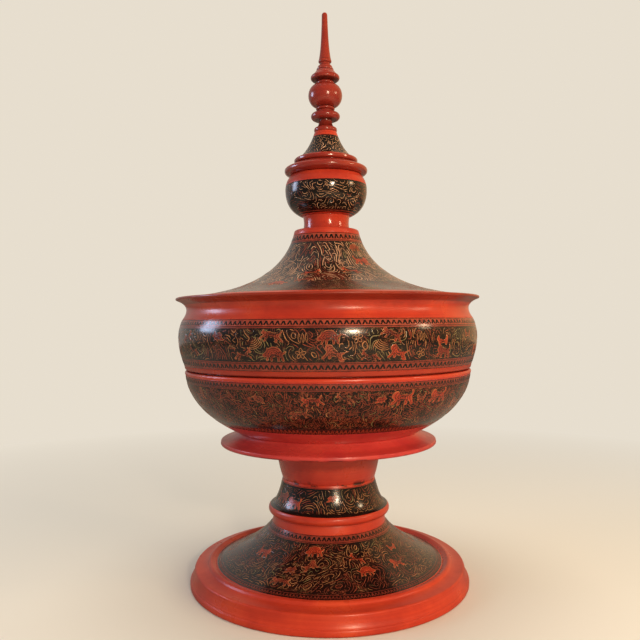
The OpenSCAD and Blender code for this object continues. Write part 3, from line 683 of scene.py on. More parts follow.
def currents(wall, low, high, seed, gap, beasts_there=(), swirl=24, longest=18):
    """Flowing lines all round a wall between two distances up it, in swirls, clear of each other and of the animals.

    Each is (tone, points), sorted by tone, so that neighbours share a pigment; a point is its bearing and
    its distance up the wall. The lines follow the level lines of a sum of waves that closes round the wall.
    """
    stride, margin, hook, hook_turn, beast_room = 1.4, 0.5, 5, 0.7, 16
    chance = random.Random(seed)
    radii = [girth(wall, low + k / 2) for k in range(int((high - low) * 2) + 2)]
    middle = radii[len(radii) // 2]
    waves = []
    for _ in range(8):
        length, way = swirl * chance.uniform(0.7, 1.5), chance.uniform(0, math.pi)
        waves.append((round(2 * math.pi * middle * math.cos(way) / length), 2 * math.pi * math.sin(way) / length,
                      chance.uniform(0, 2 * math.pi), length))
    columns = int(2 * math.pi * min(radii) / gap)
    taken = {}

    def cell(at, up):
        return math.floor(at / (2 * math.pi) * columns) % columns, int(up / gap)

    def clear(at, up, r, room):
        i, j = cell(at, up)
        return not any((between(x, at) * r) ** 2 + (y - up) ** 2 < room * room
                       for a in (i - 1, i, i + 1) for b in (j - 1, j, j + 1)
                       for x, y in taken.get((a % columns, b), ()))

    def on_beast(at, up, r, m):
        wide, tall = reach[m[2]]
        return (between(at, m[0]) * r / (wide * m[4])) ** 2 + ((up - m[1]) / (tall * m[5])) ** 2 < 1

    lines = []
    for _ in range(int(2 * math.pi * middle * (high - low) / gap / gap * 5)):
        start = chance.uniform(-math.pi, math.pi), chance.uniform(low + 0.7, high - 0.7)
        long, hooked = chance.uniform(0.4, 1) * longest, chance.choice((0, 0, 0, -1, 1))
        tone, room = chance.gauss(0, 0.5), gap * chance.uniform(0.85, 1.35)
        r = radii[int((start[1] - low) * 2)]
        if not clear(*start, r, room):
            continue
        near = [m for m in beasts_there if abs(between(start[0], m[0])) * r < longest + beast_room]
        halves = []
        for sense in (1, -1):
            (at, up), half, gone, last = start, [], 0.0, None
            while gone < long / 2:
                r = radii[int((up - low) * 2)]
                lean_x = lean_y = 0.0
                for n, m, phase, length in waves:
                    slope = length * math.sin(n * at + m * up + phase)
                    lean_x, lean_y = lean_x + slope * n / r, lean_y + slope * m
                way = math.atan2(-sense * lean_x, sense * lean_y)
                if hooked and gone > long / 2 - hook and last is not None:
                    way = last + hooked * sense * hook_turn
                at, up = at + stride * math.cos(way) / r, up + stride * math.sin(way)
                gone, last = gone + stride, way
                if (not low + margin < up < high - margin or not clear(at, up, r, 0.6 * room)
                        or any(on_beast(at, up, r, m) for m in near)):
                    break
                half.append((at, up))
            halves.append(half)
        line = halves[1][::-1] + [start] + halves[0]
        if len(line) > 3:
            for point in line:
                taken.setdefault(cell(*point), []).append(point)
            n, m, phase, _ = waves[0]
            lines.append((math.sin(n / 3 * start[0] + m / 2 * start[1] + phase) + tone, line))
    return sorted(lines)


def drawn(title, wall, body, beasts_there, lines, shares, width):
    """A whole panel of ornament: the flowing lines in their pigments, then the animals with rims and inner lines."""
    tones = {"red": vermilion, "rust": rust, "russet": russet, "ochre": ochre, "olive": olive, "pink": flame_pink,
             "faded": faded}
    pressures = (0.78, 1.2, 0.95, 1.4, 0.85)
    body_proud, rim_proud, ink_proud = 0.05, 0.08, 0.1
    done, total = 0, sum(shares.values())
    for colour, share in shares.items():
        part = lines[done:done + math.ceil(len(lines) * share / total)]
        done += len(part)
        strokes = []
        for k, (_, line) in enumerate(part):
            start = line[0][0]
            verts, faces = brushed([((at - start) * girth(wall, up), up) for at, up in line],
                                   width * pressures[k % len(pressures)])
            strokes.append(([(x + start * girth(wall, y), y, z) for x, y, z in verts], faces))
        as_drawn = (0.0, 0.0, 0, 0.0, 1.0, 1.0)
        ornament(f"{title}_lines_{colour}", wall, [together(*strokes)], [as_drawn], tones[colour], body)
    for colour in ("red", "rust", "russet"):
        marks = [m[:6] for m in beasts_there if m[6] == colour]
        if marks:
            ornament(f"{title}_animals_{colour}", wall, bodies_of_beasts, marks, tones[colour], body, body_proud)
    marks = [m[:6] for m in beasts_there]
    if marks:
        ornament(f"{title}_animal_rims", wall, rims_of_beasts, marks, ochre, body, rim_proud)
        ornament(f"{title}_animal_lines", wall, marks_of_beasts, marks, ink, body, ink_proud)


def lined(curve, thick, low, high):
    """The inner side of a wall, from its top down, between two heights."""
    inner = []
    for i, (r, z) in enumerate(curve):
        a, b = curve[max(0, i - 1)], curve[min(len(curve) - 1, i + 1)]
        length = math.dist(a, b)
        inner.append((r - (b[1] - a[1]) / length * thick, z + (b[0] - a[0]) / length * thick))
    return [p for p in inner[::-1] if low < p[1] < high]


def coated(points, finish):
    """The points of an outline, all in one finish."""
    return [(r, z, finish) for r, z in points]


wall_thick = 4.5
cone_wall = sweep((122.5, 21.5), (79.8, 37.9), (61.5, 62.5), 28)
cone_bands = [(21.9, "red"), (24.0, "line"), (24.2, "band"), (55.6, "panel"), (56.1, "band"), (56.5, "line"),
              (61.6, "band"), (62.1, "line"), (63, "red")]
cone_inside = [(56.6, 62.5)] + [p for p in lined(cone_wall, wall_thick, 15.5, 62.4) if p[0] < 114.4]
foot_cone = turned("foot_wall", banded(cone_wall, cone_bands)
                   + coated(cone_inside + [(114.5, 15.5), (122.5, 15.5)], "line"),
                   {"red": red, "panel": panel, "line": line_black, "band": band_dull}, around=160, cut=0.2)
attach(foot_cone, "stand")
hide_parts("foot_cone")
foot_low, foot_high = climbed(cone_wall, 24.6)[0], climbed(cone_wall, 55.2)[0]
foot_beasts = beast_rows(
    cone_wall, [(foot_low + 9, 74, 1.0), (foot_low + 26, 62, 0.9), (foot_low + 45, 58, 0.8)], seed=11,
    set_by_hand=[(-11.4, 57, "boar", "left", 0.86, 0.1, "red"), (-53.8, 44.5, "lion", "right", 0.8, 0, "red"),
                 (19.8, 47, "deer", "left", 0.84, -0.3, "red"), (46.7, 33, "strider", "left", 0.86, 0.1, "red"),
                 (23, 32.6, "boar", "right", 0.84, 0, "red"), (-26.3, 18.4, "leaper", "left", 1.0, 0.1, "russet"),
                 (-12.6, 41, "strider", "right", 0.8, 0.3, "russet"), (55, 50, "hare", "right", 0.9, 0, "red"),
                 (-24, 34, "bird", "right", 0.9, 0.1, "russet")],
    spare=(-66, 66))
drawn("foot", cone_wall, "stand", foot_beasts,
      currents(cone_wall, foot_low, foot_high, seed=12, gap=2.0, beasts_there=foot_beasts, swirl=28, longest=20),
      shares={"russet": 5, "ochre": 6, "olive": 1}, width=0.74)
ornament("foot_border_teeth", cone_wall, teeth, border(cone_wall, 22.3, 23.7, pitch=3.4), faded, "stand")
ornament("foot_zigzag", cone_wall, teeth, border(cone_wall, 57.4, 61, pitch=5.1), line_black, "stand")


# Stem: a low red collar, a half-round ring and a waisted black drum, turned and glued up in one line.
# A plain wooden disc closes the drum and makes the socket that the bowl's neck drops into.

def half_round(r, top, z, h, n=10):
    """Points of a bulging band from radius r out to top, from z up by h."""
    turns = [math.pi * k / n for k in range(n + 1)]
    return [(r + (top - r) * math.sin(a), z + h / 2 * (1 - math.cos(a))) for a in turns]


socket = 44
collar = turned("stem_collar_band", [(socket, 62.5), (61.5, 62.5), (60, 71.5), (socket, 71.5)], {"red": red},
                around=128)
ring_curve = [(r, z, "red" if z < 80 else "black") for r, z in half_round(61.45, 65.75, 71.5, 10)]
ring = turned("stem_round_ring", [(socket, 71.5, "red")] + ring_curve + [(socket, 81.5, "black")],
              {"red": red, "black": line_black}, around=128)
drum_wall = sweep((61.45, 81.5), (55.3, 86.5), (50.3, 109.5), 16)
drum_bands = [(106.2, "panel"), (106.6, "red"), (107, "line"), (110, "red")]
seam_red = cinnabar("red_lacquer_chipped_seam", chips=(108.6, 107))
drum = turned("stem_drum_wall",
              [(socket, 81.5, "panel")] + banded(drum_wall, drum_bands) + [(socket, 109.5, "line")],
              {"red": seam_red, "panel": line_black, "line": line_black}, around=128)
for piece, node, finish in ((collar, "stem_collar", "red_lacquer"), (ring, "stem_ring", "red_lacquer"),
                            (drum, "stem_drum", "black_yun_lacquer")):
    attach(piece, "stand")
    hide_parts(node)
drum_low, drum_high = climbed(drum_wall, 82)[0], climbed(drum_wall, 106)[0]
drum_beasts = beast_rows(
    drum_wall, [((drum_low + drum_high) / 2, 56, 0.8)], seed=21,
    set_by_hand=[(-40, 10, "lion", "left", 0.8, 0, "red"), (4, 17.5, "bird", "right", 0.8, 0, "red")],
    spare=(-60, 60))
drawn("drum", drum_wall, "stand", drum_beasts,
      currents(drum_wall, drum_low, drum_high, seed=22, gap=1.8, beasts_there=drum_beasts, swirl=20, longest=16),
      shares={"russet": 4, "ochre": 6, "olive": 1}, width=0.7)


def bare_wood(name):
    """Plain turned wood, darkened by age, with its grain in rings and short pores."""
    material, shader, nodes, links = wired(name)
    grain = speckle(nodes, links, 1.0, stretch=(60, 420, 60), detail=5)
    browns = [(0.3, paint(112, 72, 42)), (0.55, paint(156, 108, 66)), (0.75, paint(184, 136, 88))]
    links.new(ramp(nodes, links, grain, browns), shader.inputs["Base Color"])
    links.new(spread(nodes, links, grain, 0.3, 0.7, 0.7, 0.5), shader.inputs["Roughness"])
    bumped(nodes, links, shader, grain, 0.25, 0.0004)
    return material


def carried(node, material):
    """A solid of the model that shows as it is takes a real finish."""
    mesh = frame["nodes"][node].data
    mesh.materials.clear()
    mesh.materials.append(material)


wood = bare_wood("bare_turned_wood")
carried("stem_plate", wood)


# Bowl: a wide coiled-bamboo bowl on a red neck that drops into the stem, with a flaring red skirt
# under it and a red lip. The wall is black with scrolls and running animals between borders.

# Painted cool light: the skirt, the bowl's red band and the neck are tinted pinker for the cool light on them; the
# chips at their edges are real wear.
skirt_red = cinnabar("red_lacquer_chipped_edge", chips=(146.8, 149.5), depth=0.99, crease_shade=0.5, cool_light_tint=27)
neck_red = cinnabar("red_lacquer_neck", chips=(109.2, 114), depth=0.97, cool_light_tint=13)
bowl_neck_curve = sweep((50.3, 109.5), (55.5, 123.9), (60, 161), 14)
bowl_neck = turned("bowl_neck_foot",
                   [(28, 95.5), (43.6, 95.5), (43.6, 109.5)] + bowl_neck_curve + [(28, 161)],
                   {"red": neck_red}, around=128)
skirt_outline = ([(111, 147.5), (116, 147.5), (117, 148.5), (116.5, 151.5)]
                 + sweep((115, 152.1), (101, 154), (98, 161), 8)
                 + [(89.9, 161)] + sweep((89.9, 159), (94, 149), (111, 147.5), 8)[:-1])
bowl_skirt = turned("bowl_flaring_skirt", skirt_outline, {"red": skirt_red}, around=160)
bowl_wall = sweep((98, 161), (149.5, 186), (153.5, 223.5), 36)
crowded = black_lacquer("black_lacquer_crowded", shine=0.3,
                        scratches=[(190, 0.034, paint(142, 62, 44), 0.36), (280, 0.026, paint(150, 84, 58), 0.44),
                                   (330, 0.016, paint(116, 108, 74), 0.52)])
bowl_bands = [(173.4, "red"), (179.6, "line"), (216.4, "panel"), (217.1, "band"), (217.6, "line"),
              (222.5, "band"), (223, "line"), (224, "red")]
bowl_inside = [(149, 223.5)] + lined(bowl_wall, wall_thick, 166.5, 223) + [(98, 166), (89.9, 166), (89.9, 161)]
bowl_shell = turned("bowl_wall", banded(bowl_wall, bowl_bands) + coated(bowl_inside, "red"),
                    {"red": skirt_red, "panel": crowded, "line": line_black, "band": band_dull},
                    around=176, cut=0.2)
lip_outline = [(145.5, 223.5), (153.5, 223.5), (154.1, 225.1), (153.8, 226.7), (152.9, 227.5), (145.5, 227.5)]
bowl_lip = turned("bowl_lip_hoop", lip_outline, {"red": red}, around=176)
for piece, node, finish in ((bowl_neck, "bowl_neck", "red_lacquer"), (bowl_skirt, "bowl_skirt", "red_lacquer"),
                            (bowl_shell, "bowl_shell", "black_yun_lacquer"), (bowl_lip, "bowl_lip", "red_lacquer")):
    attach(piece, "bowl")
    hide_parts(node)
carried("bowl_floor", red)
bowl_low, bowl_high = climbed(bowl_wall, 180.4)[0], climbed(bowl_wall, 216)[0]
bowl_beasts = beast_rows(
    bowl_wall, [(bowl_low + 8, 66, 0.8), (bowl_low + 23, 62, 0.86), (bowl_high - 9, 56, 0.92)], seed=31,
    set_by_hand=[(26.8, 71.2, "lion", "left", 1.06, 0.05, "red"), (43.8, 70.8, "lion", "left", 1.0, 0.05, "red"),
                 (18.6, 71, "bird", "right", 0.8, 0, "red"), (35, 71.5, "hare", "left", 0.8, 0, "russet"),
                 (-5.4, 70.4, "leaper", "left", 0.94, 0.1, "red"), (-24.7, 72, "bird", "left", 0.9, -0.2, "russet"),
                 (5.6, 72.4, "deer", "left", 0.84, 0, "russet"), (-10.2, 55.9, "leaper", "left", 0.9, 0.2, "russet")],
    spare=(-44, 58))
drawn("bowl", bowl_wall, "bowl", bowl_beasts,
      currents(bowl_wall, bowl_low, bowl_high, seed=32, gap=1.9, beasts_there=bowl_beasts, swirl=24, longest=20),
      shares={"olive": 1, "faded": 4, "russet": 6, "ochre": 1}, width=0.8)
ornament("bowl_border_teeth", bowl_wall, teeth, border(bowl_wall, 174, 178.4, pitch=4.0), rust, "bowl")
ornament("bowl_zigzag", bowl_wall, teeth, border(bowl_wall, 218, 221.8, pitch=4.93), line_black, "bowl")


# Tray: a swelling hoop-walled tray that nests in the bowl's mouth on a plain spigot, with a red
# bottom hoop, two rows of animals on black, and a broad red brim that holds the lid.

# Painted shade: the bottom hoop lies under the tray's swelling wall, so its red is darkened (depth 0.84).
hoop_shade_red = cinnabar("red_lacquer_painted_hoop_shade", depth=0.84)
hoop_outline = [(139.1, 227.5), (148.5, 227.5), (148.5, 229), (152.7, 229), (153.7, 229.6), (154.7, 233.5),
                (139.1, 233.5)]
tray_hoop = turned("tray_bottom_hoop", hoop_outline, {"red": hoop_shade_red}, around=176)
tray_wall = sweep((154.7, 233.5), (165.5, 262), (156.5, 281), 28)
tray_bands = [(233.8, "red"), (234.3, "line"), (240.6, "dull"), (241.1, "line"), (242.0, "dull"), (272.4, "panel"),
              (273.6, "dull"), (274.2, "line"), (279.8, "band"), (280.4, "line"), (282, "red")]
tray_inside = [(151.5, 281)] + lined(tray_wall, wall_thick, 234, 280.5) + [(149.9, 233.5)]
tray_shell = turned("tray_wall", banded(tray_wall, tray_bands) + coated(tray_inside, "red"),
                    {"red": red, "panel": panel, "line": line_black, "band": band_red, "dull": band_dull},
                    around=176, cut=0.2)
brim_curve = sweep((156.5, 281), (145.5, 295.1), (161.9, 301.1), 16)
# Painted shade: the underside of the brim's flare above 296 mm and its outer rim take a darker red, for the shade
# under the overhang.
brim_outline = ([(r, z, "red" if z < 296 else "edge") for r, z in brim_curve]
                + coated([(163.0, 301.6), (163.4, 302.6), (163.0, 303.7)], "edge")
                + [(161.9, 304.1), (151, 304.5), (151, 300.5), (146.5, 300.5), (146.5, 290.4), (151.7, 281)])
brim_shade_red = cinnabar("red_lacquer_painted_brim_shade", depth=0.74)
tray_brim = turned("tray_broad_brim", brim_outline, {"red": red, "edge": brim_shade_red}, around=176)
for piece, node, finish in ((tray_hoop, "tray_hoop", "red_lacquer"), (tray_shell, "tray_shell", "black_yun_lacquer"),
                            (tray_brim, "tray_brim", "red_lacquer")):
    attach(piece, "tray")
    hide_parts(node)
carried("tray_floor", red)
carried("tray_spigot", red)
tray_low, tray_high = climbed(tray_wall, 242.6)[0], climbed(tray_wall, 272.2)[0]
lower_row, upper_row = tray_low + 7.9, tray_high - 7.6
tray_beasts = beast_rows(
    tray_wall, [(lower_row, 38, 1.0), (upper_row, 42, 1.0)], seed=41,
    set_by_hand=[(-38.9, 32.2, "bird", "left", 1.05, 0.1, "rust"),
                 (-17.9, 32.4, "leaper", "left", 1.0, -0.1, "russet"),
                 (0.4, 31.4, "boar", "left", 0.96, 0.05, "rust"), (20.7, 33, "leaper", "left", 0.94, -0.35, "rust"),
                 (41.5, 26.8, "hare", "left", 1.1, 0, "red"), (-28.3, 15.7, "deer", "right", 0.95, 0, "russet"),
                 (-17.2, 16.8, "boar", "left", 1.0, 0, "rust"), (2, 17.3, "strider", "left", 1.06, 0, "russet"),
                 (13.6, 14.2, "deer", "left", 0.88, 0.05, "rust"), (23, 17.2, "strider", "left", 1.0, 0, "red"),
                 (42.4, 16.2, "lion", "left", 0.86, 0, "rust")],
    spare=(-48, 56))


def spoke(angle, far):
    """A point so far out along an angle."""
    return math.cos(angle) * far, math.sin(angle) * far


petals = [flowing([spoke(a, 0.8), spoke(a - 0.42, 3.6), spoke(a, 5.2), spoke(a + 0.42, 3.6)], 2, closed=True)
          for a in (0.3 + k * 2 * math.pi / 5 for k in range(5))]
plume_angles = [math.radians(195 + 105 * i / 8) for i in range(9)]
plume = [[(r * math.cos(a), r * math.sin(a) + 6.5) for a in plume_angles] for r in (4.4, 6.2, 8, 9.8, 11.6)]
plume_turned_over = [[(-x, y) for x, y in line] for line in plume]
leaves = [flowing([(x, -4.5), (x - 1.1, -0.5), (x, 4.5), (x + 1.1, -0.5)], 2, closed=True) for x in (-3.4, 0, 3.4)]
flourishes = [together(*[brushed(line, 0.7, closed=True) for line in petals]),
              together(*[brushed(line, 0.9) for line in plume]),
              together(*[brushed(line, 0.9) for line in plume_turned_over]),
              together(*[brushed(line, 0.75, closed=True) for line in leaves])]
flourish_size, flourish_room = 0.95, (0.69, 0.86)
tray_radius, clear_across, clear_up = 160, 15, 12
chance = random.Random(44)
tray_flourishes = [(math.radians(deg), up, pick, turned_by, flourish_size, flourish_size)
                   for deg, up, pick, turned_by in ((-24.2, 26, 2, 0.2), (-8.4, 17, 0, 0), (-7.6, 31, 3, 0.1),
                                                    (18, 24.4, 1, 0), (31.8, 16.4, 0, 0.4), (31.6, 31.6, 3, -0.2),
                                                    (9.4, 30.6, 0, 0.2))]
for k in range(26):
    at, up = math.radians(60 + k * 9.6), tray_low + chance.uniform(7, tray_high - tray_low - 7)
    if all(abs(between(at, m[0])) * tray_radius > clear_across or abs(up - m[1]) > clear_up for m in tray_beasts):
        tray_flourishes.append((at, up, chance.randrange(4), chance.uniform(-0.3, 0.3), flourish_size, flourish_size))
ornament("tray_flourishes", tray_wall, flourishes, tray_flourishes, ochre, "tray")
room_taken = tray_beasts + [(*m[:4], *flourish_room) for m in tray_flourishes]
drawn("tray", tray_wall, "tray", tray_beasts,
      currents(tray_wall, tray_low, tray_high, seed=42, gap=2.15, beasts_there=room_taken, swirl=28, longest=26),
      shares={"olive": 4, "ochre": 6, "russet": 4}, width=0.8)
ornament("tray_zigzag_low", tray_wall, teeth, border(tray_wall, 235.5, 240, pitch=5.5), line_black, "tray")
ornament("tray_zigzag_high", tray_wall, teeth, border(tray_wall, 274.9, 279.1, pitch=5.5), line_black, "tray")


# Lid: a steep roof of coiled bamboo swept up to a red crown, with a plain edge that sits in the
# tray's brim and a flange below that keeps it from sliding. The crown holds the spire's dowel.

edge_outline = [(138, 300.5), (150.6, 300.5), (150.6, 303.7), (149.8, 304.5), (138, 306.5)]
lid_edge = turned("lid_edge_hoop", edge_outline, {"red": red}, around=176)
roof_black = black_lacquer("black_lacquer_roof", scratched, shine=0.95)
roof_wall = sweep((138, 306.5), (52, 318.6), (36.5, 372.5), 40)
roof_bands = [(362.6, "panel"), (363.2, "band"), (363.8, "line"), (371.2, "band"), (371.8, "line"), (373, "red")]
roof_inside = [(31.8, 372.5)] + lined(roof_wall, wall_thick, 302, 372) + [(134, 302), (138, 300.5)]
lid_roof = turned("lid_roof_wall", banded(roof_wall, roof_bands) + coated(roof_inside, "red"),
                  {"panel": roof_black, "red": red, "line": line_black, "band": band_red}, around=160, cut=0.2)
crown_outline = [(11, 356), (20, 356), (20, 372.5), (36.5, 372.5), (35.9, 374.8), (35.4, 376.9), (34.4, 378),
                 (11, 378)]
lid_crown = turned("lid_crown_cap", crown_outline, {"red": red}, around=112)
for piece, node, finish in ((lid_edge, "lid_edge", "red_lacquer"), (lid_roof, "lid_roof", "black_yun_lacquer"),
                            (lid_crown, "lid_crown", "red_lacquer")):
    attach(piece, "lid")
    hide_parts(node)
carried("lid_flange", red)
roof_low, roof_high = climbed(roof_wall, 307.4)[0], climbed(roof_wall, 362.2)[0]
roof_beasts = beast_rows(
    roof_wall, [(roof_low + 16, 74, 1.0), (roof_low + 42, 66, 0.9), (roof_low + 70, 60, 0.8)], seed=51,
    set_by_hand=[(-12.4, 68.5, "deer", "right", 0.95, 0, "red"), (20.7, 72, "deer", "left", 1.0, 0, "red"),
                 (41.7, 91, "lion", "right", 0.9, -0.1, "red"), (-30.2, 42.3, "boar", "left", 0.95, 0, "red"),
                 (-14.1, 50, "leaper", "right", 0.9, 0, "russet"), (42, 110, "boar", "left", 0.7, 0.1, "russet")],
    spare=(-60, 62))
skirt_high = roof_low + 40
drawn("roof", roof_wall, "lid", roof_beasts,
      currents(roof_wall, skirt_high, roof_high, seed=52, gap=2.1, beasts_there=roof_beasts, swirl=30, longest=28),
      shares={"russet": 1, "pink": 8, "olive": 1}, width=1.04)
drawn("roof_skirt", roof_wall, "lid", [],
      currents(roof_wall, roof_low, roof_low + 40.6, seed=53, gap=2.5, beasts_there=roof_beasts, swirl=30,
               longest=24),
      shares={"faded": 5, "russet": 4, "ochre": 1, "olive": 1}, width=0.66)
ornament("roof_zigzag", roof_wall, teeth, border(roof_wall, 364.7, 370.3, pitch=5.28), line_black, "lid")


# Spire: a red neck, a black bulb, two red rings and a small black cap, all turned and bored through.
# They are fixed on a bare wooden dowel, which drops into the lid's crown and lets the spire lift off.

bore = 10.6
# Painted shade: the spire's rings and the finial take a darker red that paints in their shade, with deeper painted
# shade in their creases.
spire_shade_red = cinnabar("red_lacquer_painted_spire_shade", depth=0.77, crease_shade=1.8, shine=0.7, cool_light_tint=12, rough=(0.24, 0.15))
polished_red = cinnabar("red_lacquer_polished", depth=0.95, rough=(0.18, 0.1))
spire_neck = turned("spire_red_neck",
                    [(bore, 378)] + sweep((25.6, 378), (23.8, 385.8), (25.6, 393.5), 10) + [(bore, 393.5)],
                    {"red": polished_red}, around=112)
bulb_wall = (sweep((26.5, 393.5), (44.8, 400.5), (44.8, 422.5), 14)
             + sweep((44.8, 422.7), (44.8, 431.3), (39.3, 437.5), 10))
bulb_bands = [(394.6, "red"), (395.6, "panel"), (396.1, "band"), (426.6, "panel"), (439, "red")]
spire_bulb = turned("spire_bulb_wall",
                    banded(bulb_wall, bulb_bands) + coated([(bore, 437.5), (bore, 393.5)], "red"),
                    {"red": red, "panel": line_black, "band": band_red}, around=112, cut=0.25)
large_ring_outline = ([(bore, 437.5), (37.3, 437.5)] + sweep((41.5, 439.2), (45.5, 440.4), (45.5, 443), 6)
                      + sweep((45.5, 443.7), (45.5, 446.4), (41.5, 447.3), 6) + [(37.5, 449.5), (bore, 449.5)])
spire_ring_large = turned("spire_large_ring", large_ring_outline, {"red": spire_shade_red}, around=112)
small_ring_outline = [(bore, 449.5), (31.8, 449.5), (32, 451.4), (34, 452.2), (34.8, 453.6), (34.8, 455.5),
                      (33.9, 456.6), (30.6, 457.5), (bore, 457.5)]
spire_ring_small = turned("spire_small_ring", small_ring_outline, {"red": spire_shade_red}, around=112, cut=0.35)
cap_wall = sweep((30, 457.5), (18.5, 466.8), (12.2, 486.5), 16)
cap_bands = [(458.2, "red"), (481, "panel"), (488, "red")]
cap_inside = [(5.4, 486.5), (5.4, 470.5), (0, 470.5), (0, 462.5), (bore, 462.5)]
spire_cap = turned("spire_cap_wall",
                   [(bore, 457.5, "red")] + banded(cap_wall, cap_bands) + coated(cap_inside, "red"),
                   {"red": red, "panel": line_black}, around=96, cut=0.25)
for piece, node, finish in ((spire_neck, "spire_neck", "red_lacquer"),
                            (spire_bulb, "spire_bulb", "black_yun_lacquer"),
                            (spire_ring_large, "spire_ring_large", "red_lacquer"),
                            (spire_ring_small, "spire_ring_small", "red_lacquer"),
                            (spire_cap, "spire_cap", "black_yun_lacquer")):
    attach(piece, "spire")
    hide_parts(node)
carried("spire_dowel", wood)
bulb_low, bulb_high = climbed(bulb_wall, 396.5)[0], climbed(bulb_wall, 426.4)[0]
drawn("bulb", bulb_wall, "spire", [],
      currents(bulb_wall, bulb_low, bulb_high, seed=62, gap=2.0, swirl=22, longest=18),
      shares={"russet": 3, "pink": 7}, width=0.78)
drawn("cap", cap_wall, "spire", [],
      currents(cap_wall, 1.0, climbed(cap_wall, 481)[0], seed=63, gap=1.7, swirl=16, longest=12),
      shares={"russet": 1, "pink": 4}, width=0.74)


# Finial: four small turned pieces on one peg, all red: a ringed base, a round bulb, an umbrella
# disc and a long spike. The peg drops into the spire's cap, so the finial lifts off by itself.

finial_outlines = {
    "finial_base": [(0, 471.5), (5, 471.5), (5, 486.5)] + half_round(11.2, 12.7, 486.5, 5, 6)
    + sweep((10.2, 491.8), (7.2, 494.05), (7.2, 499), 5) + [(7.3, 499.9, "under"), (12, 500)]
    + half_round(12, 16, 500, 8)[1:] + [(8.2, 508.4), (8.2, 511), (0, 511)],
    "finial_bulb": [(0, 511)] + half_round(8.8, 10.4, 511, 3.1, 6) + half_round(8.8, 18.7, 514.5, 25, 16)
    + [(9.7, 539.9), (9.7, 542), (0, 542)],
    "finial_umbrella": [(0, 542), (9.4, 542), (8.6, 542.7, "under"), (13.6, 543.5, "under"), (15.4, 544.8),
                        (16, 546.2), (15.8, 547.8)]
    + sweep((15.2, 548.8), (12.4, 550.6), (10.2, 554), 6)
    + [(9.3, 555), (9.5, 556.3), (8.5, 557.4), (8.2, 558.7), (7.4, 560.1), (5.7, 560.3), (5.7, 563.5), (0, 563.5)],
    "finial_spike": [(0, 563.5), (6.3, 563.5), (7.2, 564.4), (7.2, 565.8)]
    + sweep((6.75, 566.9), (4, 579.2), (3.1, 616.4), 16) + [(2.7, 617.95), (1.55, 619.1), (0, 619.5)],
}
# Painted shade: the flat undersides of the finial's base and umbrella, marked under, take a darker red.
shaded_red = cinnabar("red_lacquer_painted_underside_shade", depth=0.5)
for node, outline in finial_outlines.items():
    piece = turned(node + "_turned", outline, {"red": spire_shade_red, "under": shaded_red}, around=80, cut=0.4)
    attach(piece, "finial")
    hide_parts(node)


# Studio: a pale floor that fades into the backdrop, soft lamps in warm and cool light, and the camera
# where the vessel was seen from, a little below its middle.

backdrop = (0.80, 0.73, 0.62, 1)
floor_radius, floor_sides = 4, 64
floor_turns = [k * 2 * math.pi / floor_sides for k in range(floor_sides)]
floor_mesh = bpy.data.meshes.new("pale_floor")
floor_mesh.from_pydata([(floor_radius * math.cos(a), floor_radius * math.sin(a), 0) for a in floor_turns], [],
                       [list(range(floor_sides))])
floor_paint, floor_shader, floor_nodes, floor_links = wired("pale_floor_paint")
floor_shader.inputs["Roughness"].default_value = 0.7
far_pale = floor_nodes.new("ShaderNodeEmission")
far_pale.inputs["Color"].default_value = backdrop
floor_where, floor_far = floor_nodes.new("ShaderNodeTexCoord"), floor_nodes.new("ShaderNodeVectorMath")
floor_far.operation = "LENGTH"
floor_links.new(floor_where.outputs["Object"], floor_far.inputs[0])
floor_rays, floor_mix = floor_nodes.new("ShaderNodeLightPath"), floor_nodes.new("ShaderNodeMixShader")
floor_seen = floor_rays.outputs["Is Camera Ray"]
floor_as_felt, floor_as_seen = (0.44, 0.40, 0.34, 1), (0.84, 0.82, 0.77, 1)
floor_links.new(blended(floor_nodes, floor_links, floor_seen, floor_as_felt, floor_as_seen),
                floor_shader.inputs["Base Color"])
fade = spread(floor_nodes, floor_links, floor_far.outputs["Value"], 0.3, 1.1, 0, 1)
floor_links.new(times(floor_nodes, floor_links, fade, floor_seen), floor_mix.inputs["Fac"])
floor_links.new(floor_shader.outputs[0], floor_mix.inputs[1])
floor_links.new(far_pale.outputs[0], floor_mix.inputs[2])
floor_surface = next(n for n in floor_nodes if n.type == "OUTPUT_MATERIAL")
floor_links.new(floor_mix.outputs[0], floor_surface.inputs["Surface"])
floor_mesh.materials.append(floor_paint)
floor = bpy.data.objects.new("pale_floor", floor_mesh)
bpy.context.scene.collection.objects.link(floor)


def lamp(name, at, aim, size, power, colour):
    """A rectangular lamp: where it hangs and what it faces in m, its size in m, its power in W and its colour."""
    light = bpy.data.lights.new(name, "AREA")
    light.shape = "RECTANGLE"
    light.size, light.size_y = size
    light.energy = power
    light.color = colour
    holder = bpy.data.objects.new(name, light)
    holder.location = at
    way = [b - a for a, b in zip(at, aim)]
    holder.rotation_euler = (math.atan2(math.hypot(way[0], way[1]), -way[2]), 0, math.atan2(-way[0], way[1]))
    bpy.context.scene.collection.objects.link(holder)
    return holder


waist = (0, 0, 0.28)
lamp("warm_front_lamp", (0.48, -1.5, 0.66), waist, (0.18, 0.10), 9, (1.0, 0.80, 0.56))
lamp("warm_right_lamp", (1.6, -0.45, 0.85), waist, (0.2, 0.2), 4, (1.0, 0.74, 0.46))
lamp("warm_side_fill", (1.15, -1.0, 0.9), waist, (0.8, 0.8), 11.5, (1.0, 0.72, 0.42)).visible_glossy = False
lamp("cool_left_window", (-1.58, 0.18, 0.75), waist, (0.45, 0.5), 8, (0.60, 0.72, 1.0)).visible_diffuse = False
lamp("low_front_fill", (0.3, -1.4, 0.12), (0, 0, 0.2), (0.7, 0.2), 3.5, (1.0, 0.80, 0.58)).visible_glossy = False
lamp("cool_left_fill", (-1.6, -0.3, 0.9), waist, (0.6, 0.6), 5, (0.80, 0.88, 1.0)).visible_glossy = False
lamp("soft_top_lamp", (0, 0.2, 1.9), (0, 0, 0.3), (1.2, 1.2), 18, (1.0, 0.90, 0.76)).visible_glossy = False

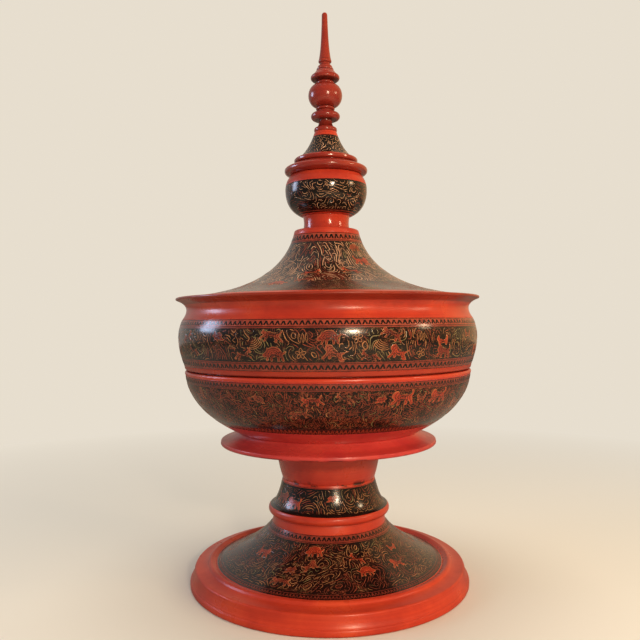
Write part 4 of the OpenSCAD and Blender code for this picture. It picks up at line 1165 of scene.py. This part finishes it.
# The room as the camera sees it is plain; the lacquer mirrors it brighter behind and warmer to the right.
world = bpy.data.worlds.new("pale_room")
bpy.context.scene.world = world
world.use_nodes = True
room_nodes, room_links = world.node_tree.nodes, world.node_tree.links
room_nodes.clear()
room_surface, both = room_nodes.new("ShaderNodeOutputWorld"), room_nodes.new("ShaderNodeMixShader")
seen, felt = room_nodes.new("ShaderNodeBackground"), room_nodes.new("ShaderNodeBackground")
felt.inputs["Color"].default_value = (1.0, 0.94, 0.84, 1)
felt.inputs["Strength"].default_value = 0.22
rays = room_nodes.new("ShaderNodeLightPath")


def larger(a, b):
    """The larger of two values in the room's light."""
    node = room_nodes.new("ShaderNodeMath")
    node.operation = "MAXIMUM"
    room_links.new(a, node.inputs[0])
    room_links.new(b, node.inputs[1])
    return node.outputs[0]


by_camera = rays.outputs["Is Camera Ray"]
room_links.new(larger(by_camera, rays.outputs["Is Glossy Ray"]), both.inputs["Fac"])
room_links.new(felt.outputs[0], both.inputs[1])
room_links.new(seen.outputs[0], both.inputs[2])
room_links.new(both.outputs[0], room_surface.inputs["Surface"])
toward, heading = room_nodes.new("ShaderNodeTexCoord"), room_nodes.new("ShaderNodeSeparateXYZ")
room_links.new(toward.outputs["Generated"], heading.inputs[0])
behind = spread(room_nodes, room_links, heading.outputs["Y"], -0.3, 0.6, 0.24, 0.64)
to_right = spread(room_nodes, room_links, heading.outputs["X"], 0, 0.7, 1, 1.35)
room_links.new(larger(by_camera, times(room_nodes, room_links, behind, to_right)), seen.inputs["Strength"])
tint = ramp(room_nodes, room_links, spread(room_nodes, room_links, heading.outputs["X"], -0.5, 0.7, 0, 1),
            [(0, (0.77, 0.72, 0.66, 1)), (1, (1.0, 0.62, 0.30, 1))])
room_links.new(blended(room_nodes, room_links, by_camera, tint, backdrop), seen.inputs["Color"])

lens = bpy.data.cameras.new("camera")
lens.sensor_width = 36
lens.lens = 37.69
tilt, roll, swing = 90.34, 0.5, 0.62
camera = bpy.data.objects.new("camera", lens)
camera.location = (0, -0.738, 0.2756)
camera.rotation_euler = (math.radians(tilt), math.radians(roll), math.radians(swing))
bpy.context.scene.collection.objects.link(camera)
bpy.context.scene.camera = camera
bpy.context.scene.view_settings.view_transform = "Standard"
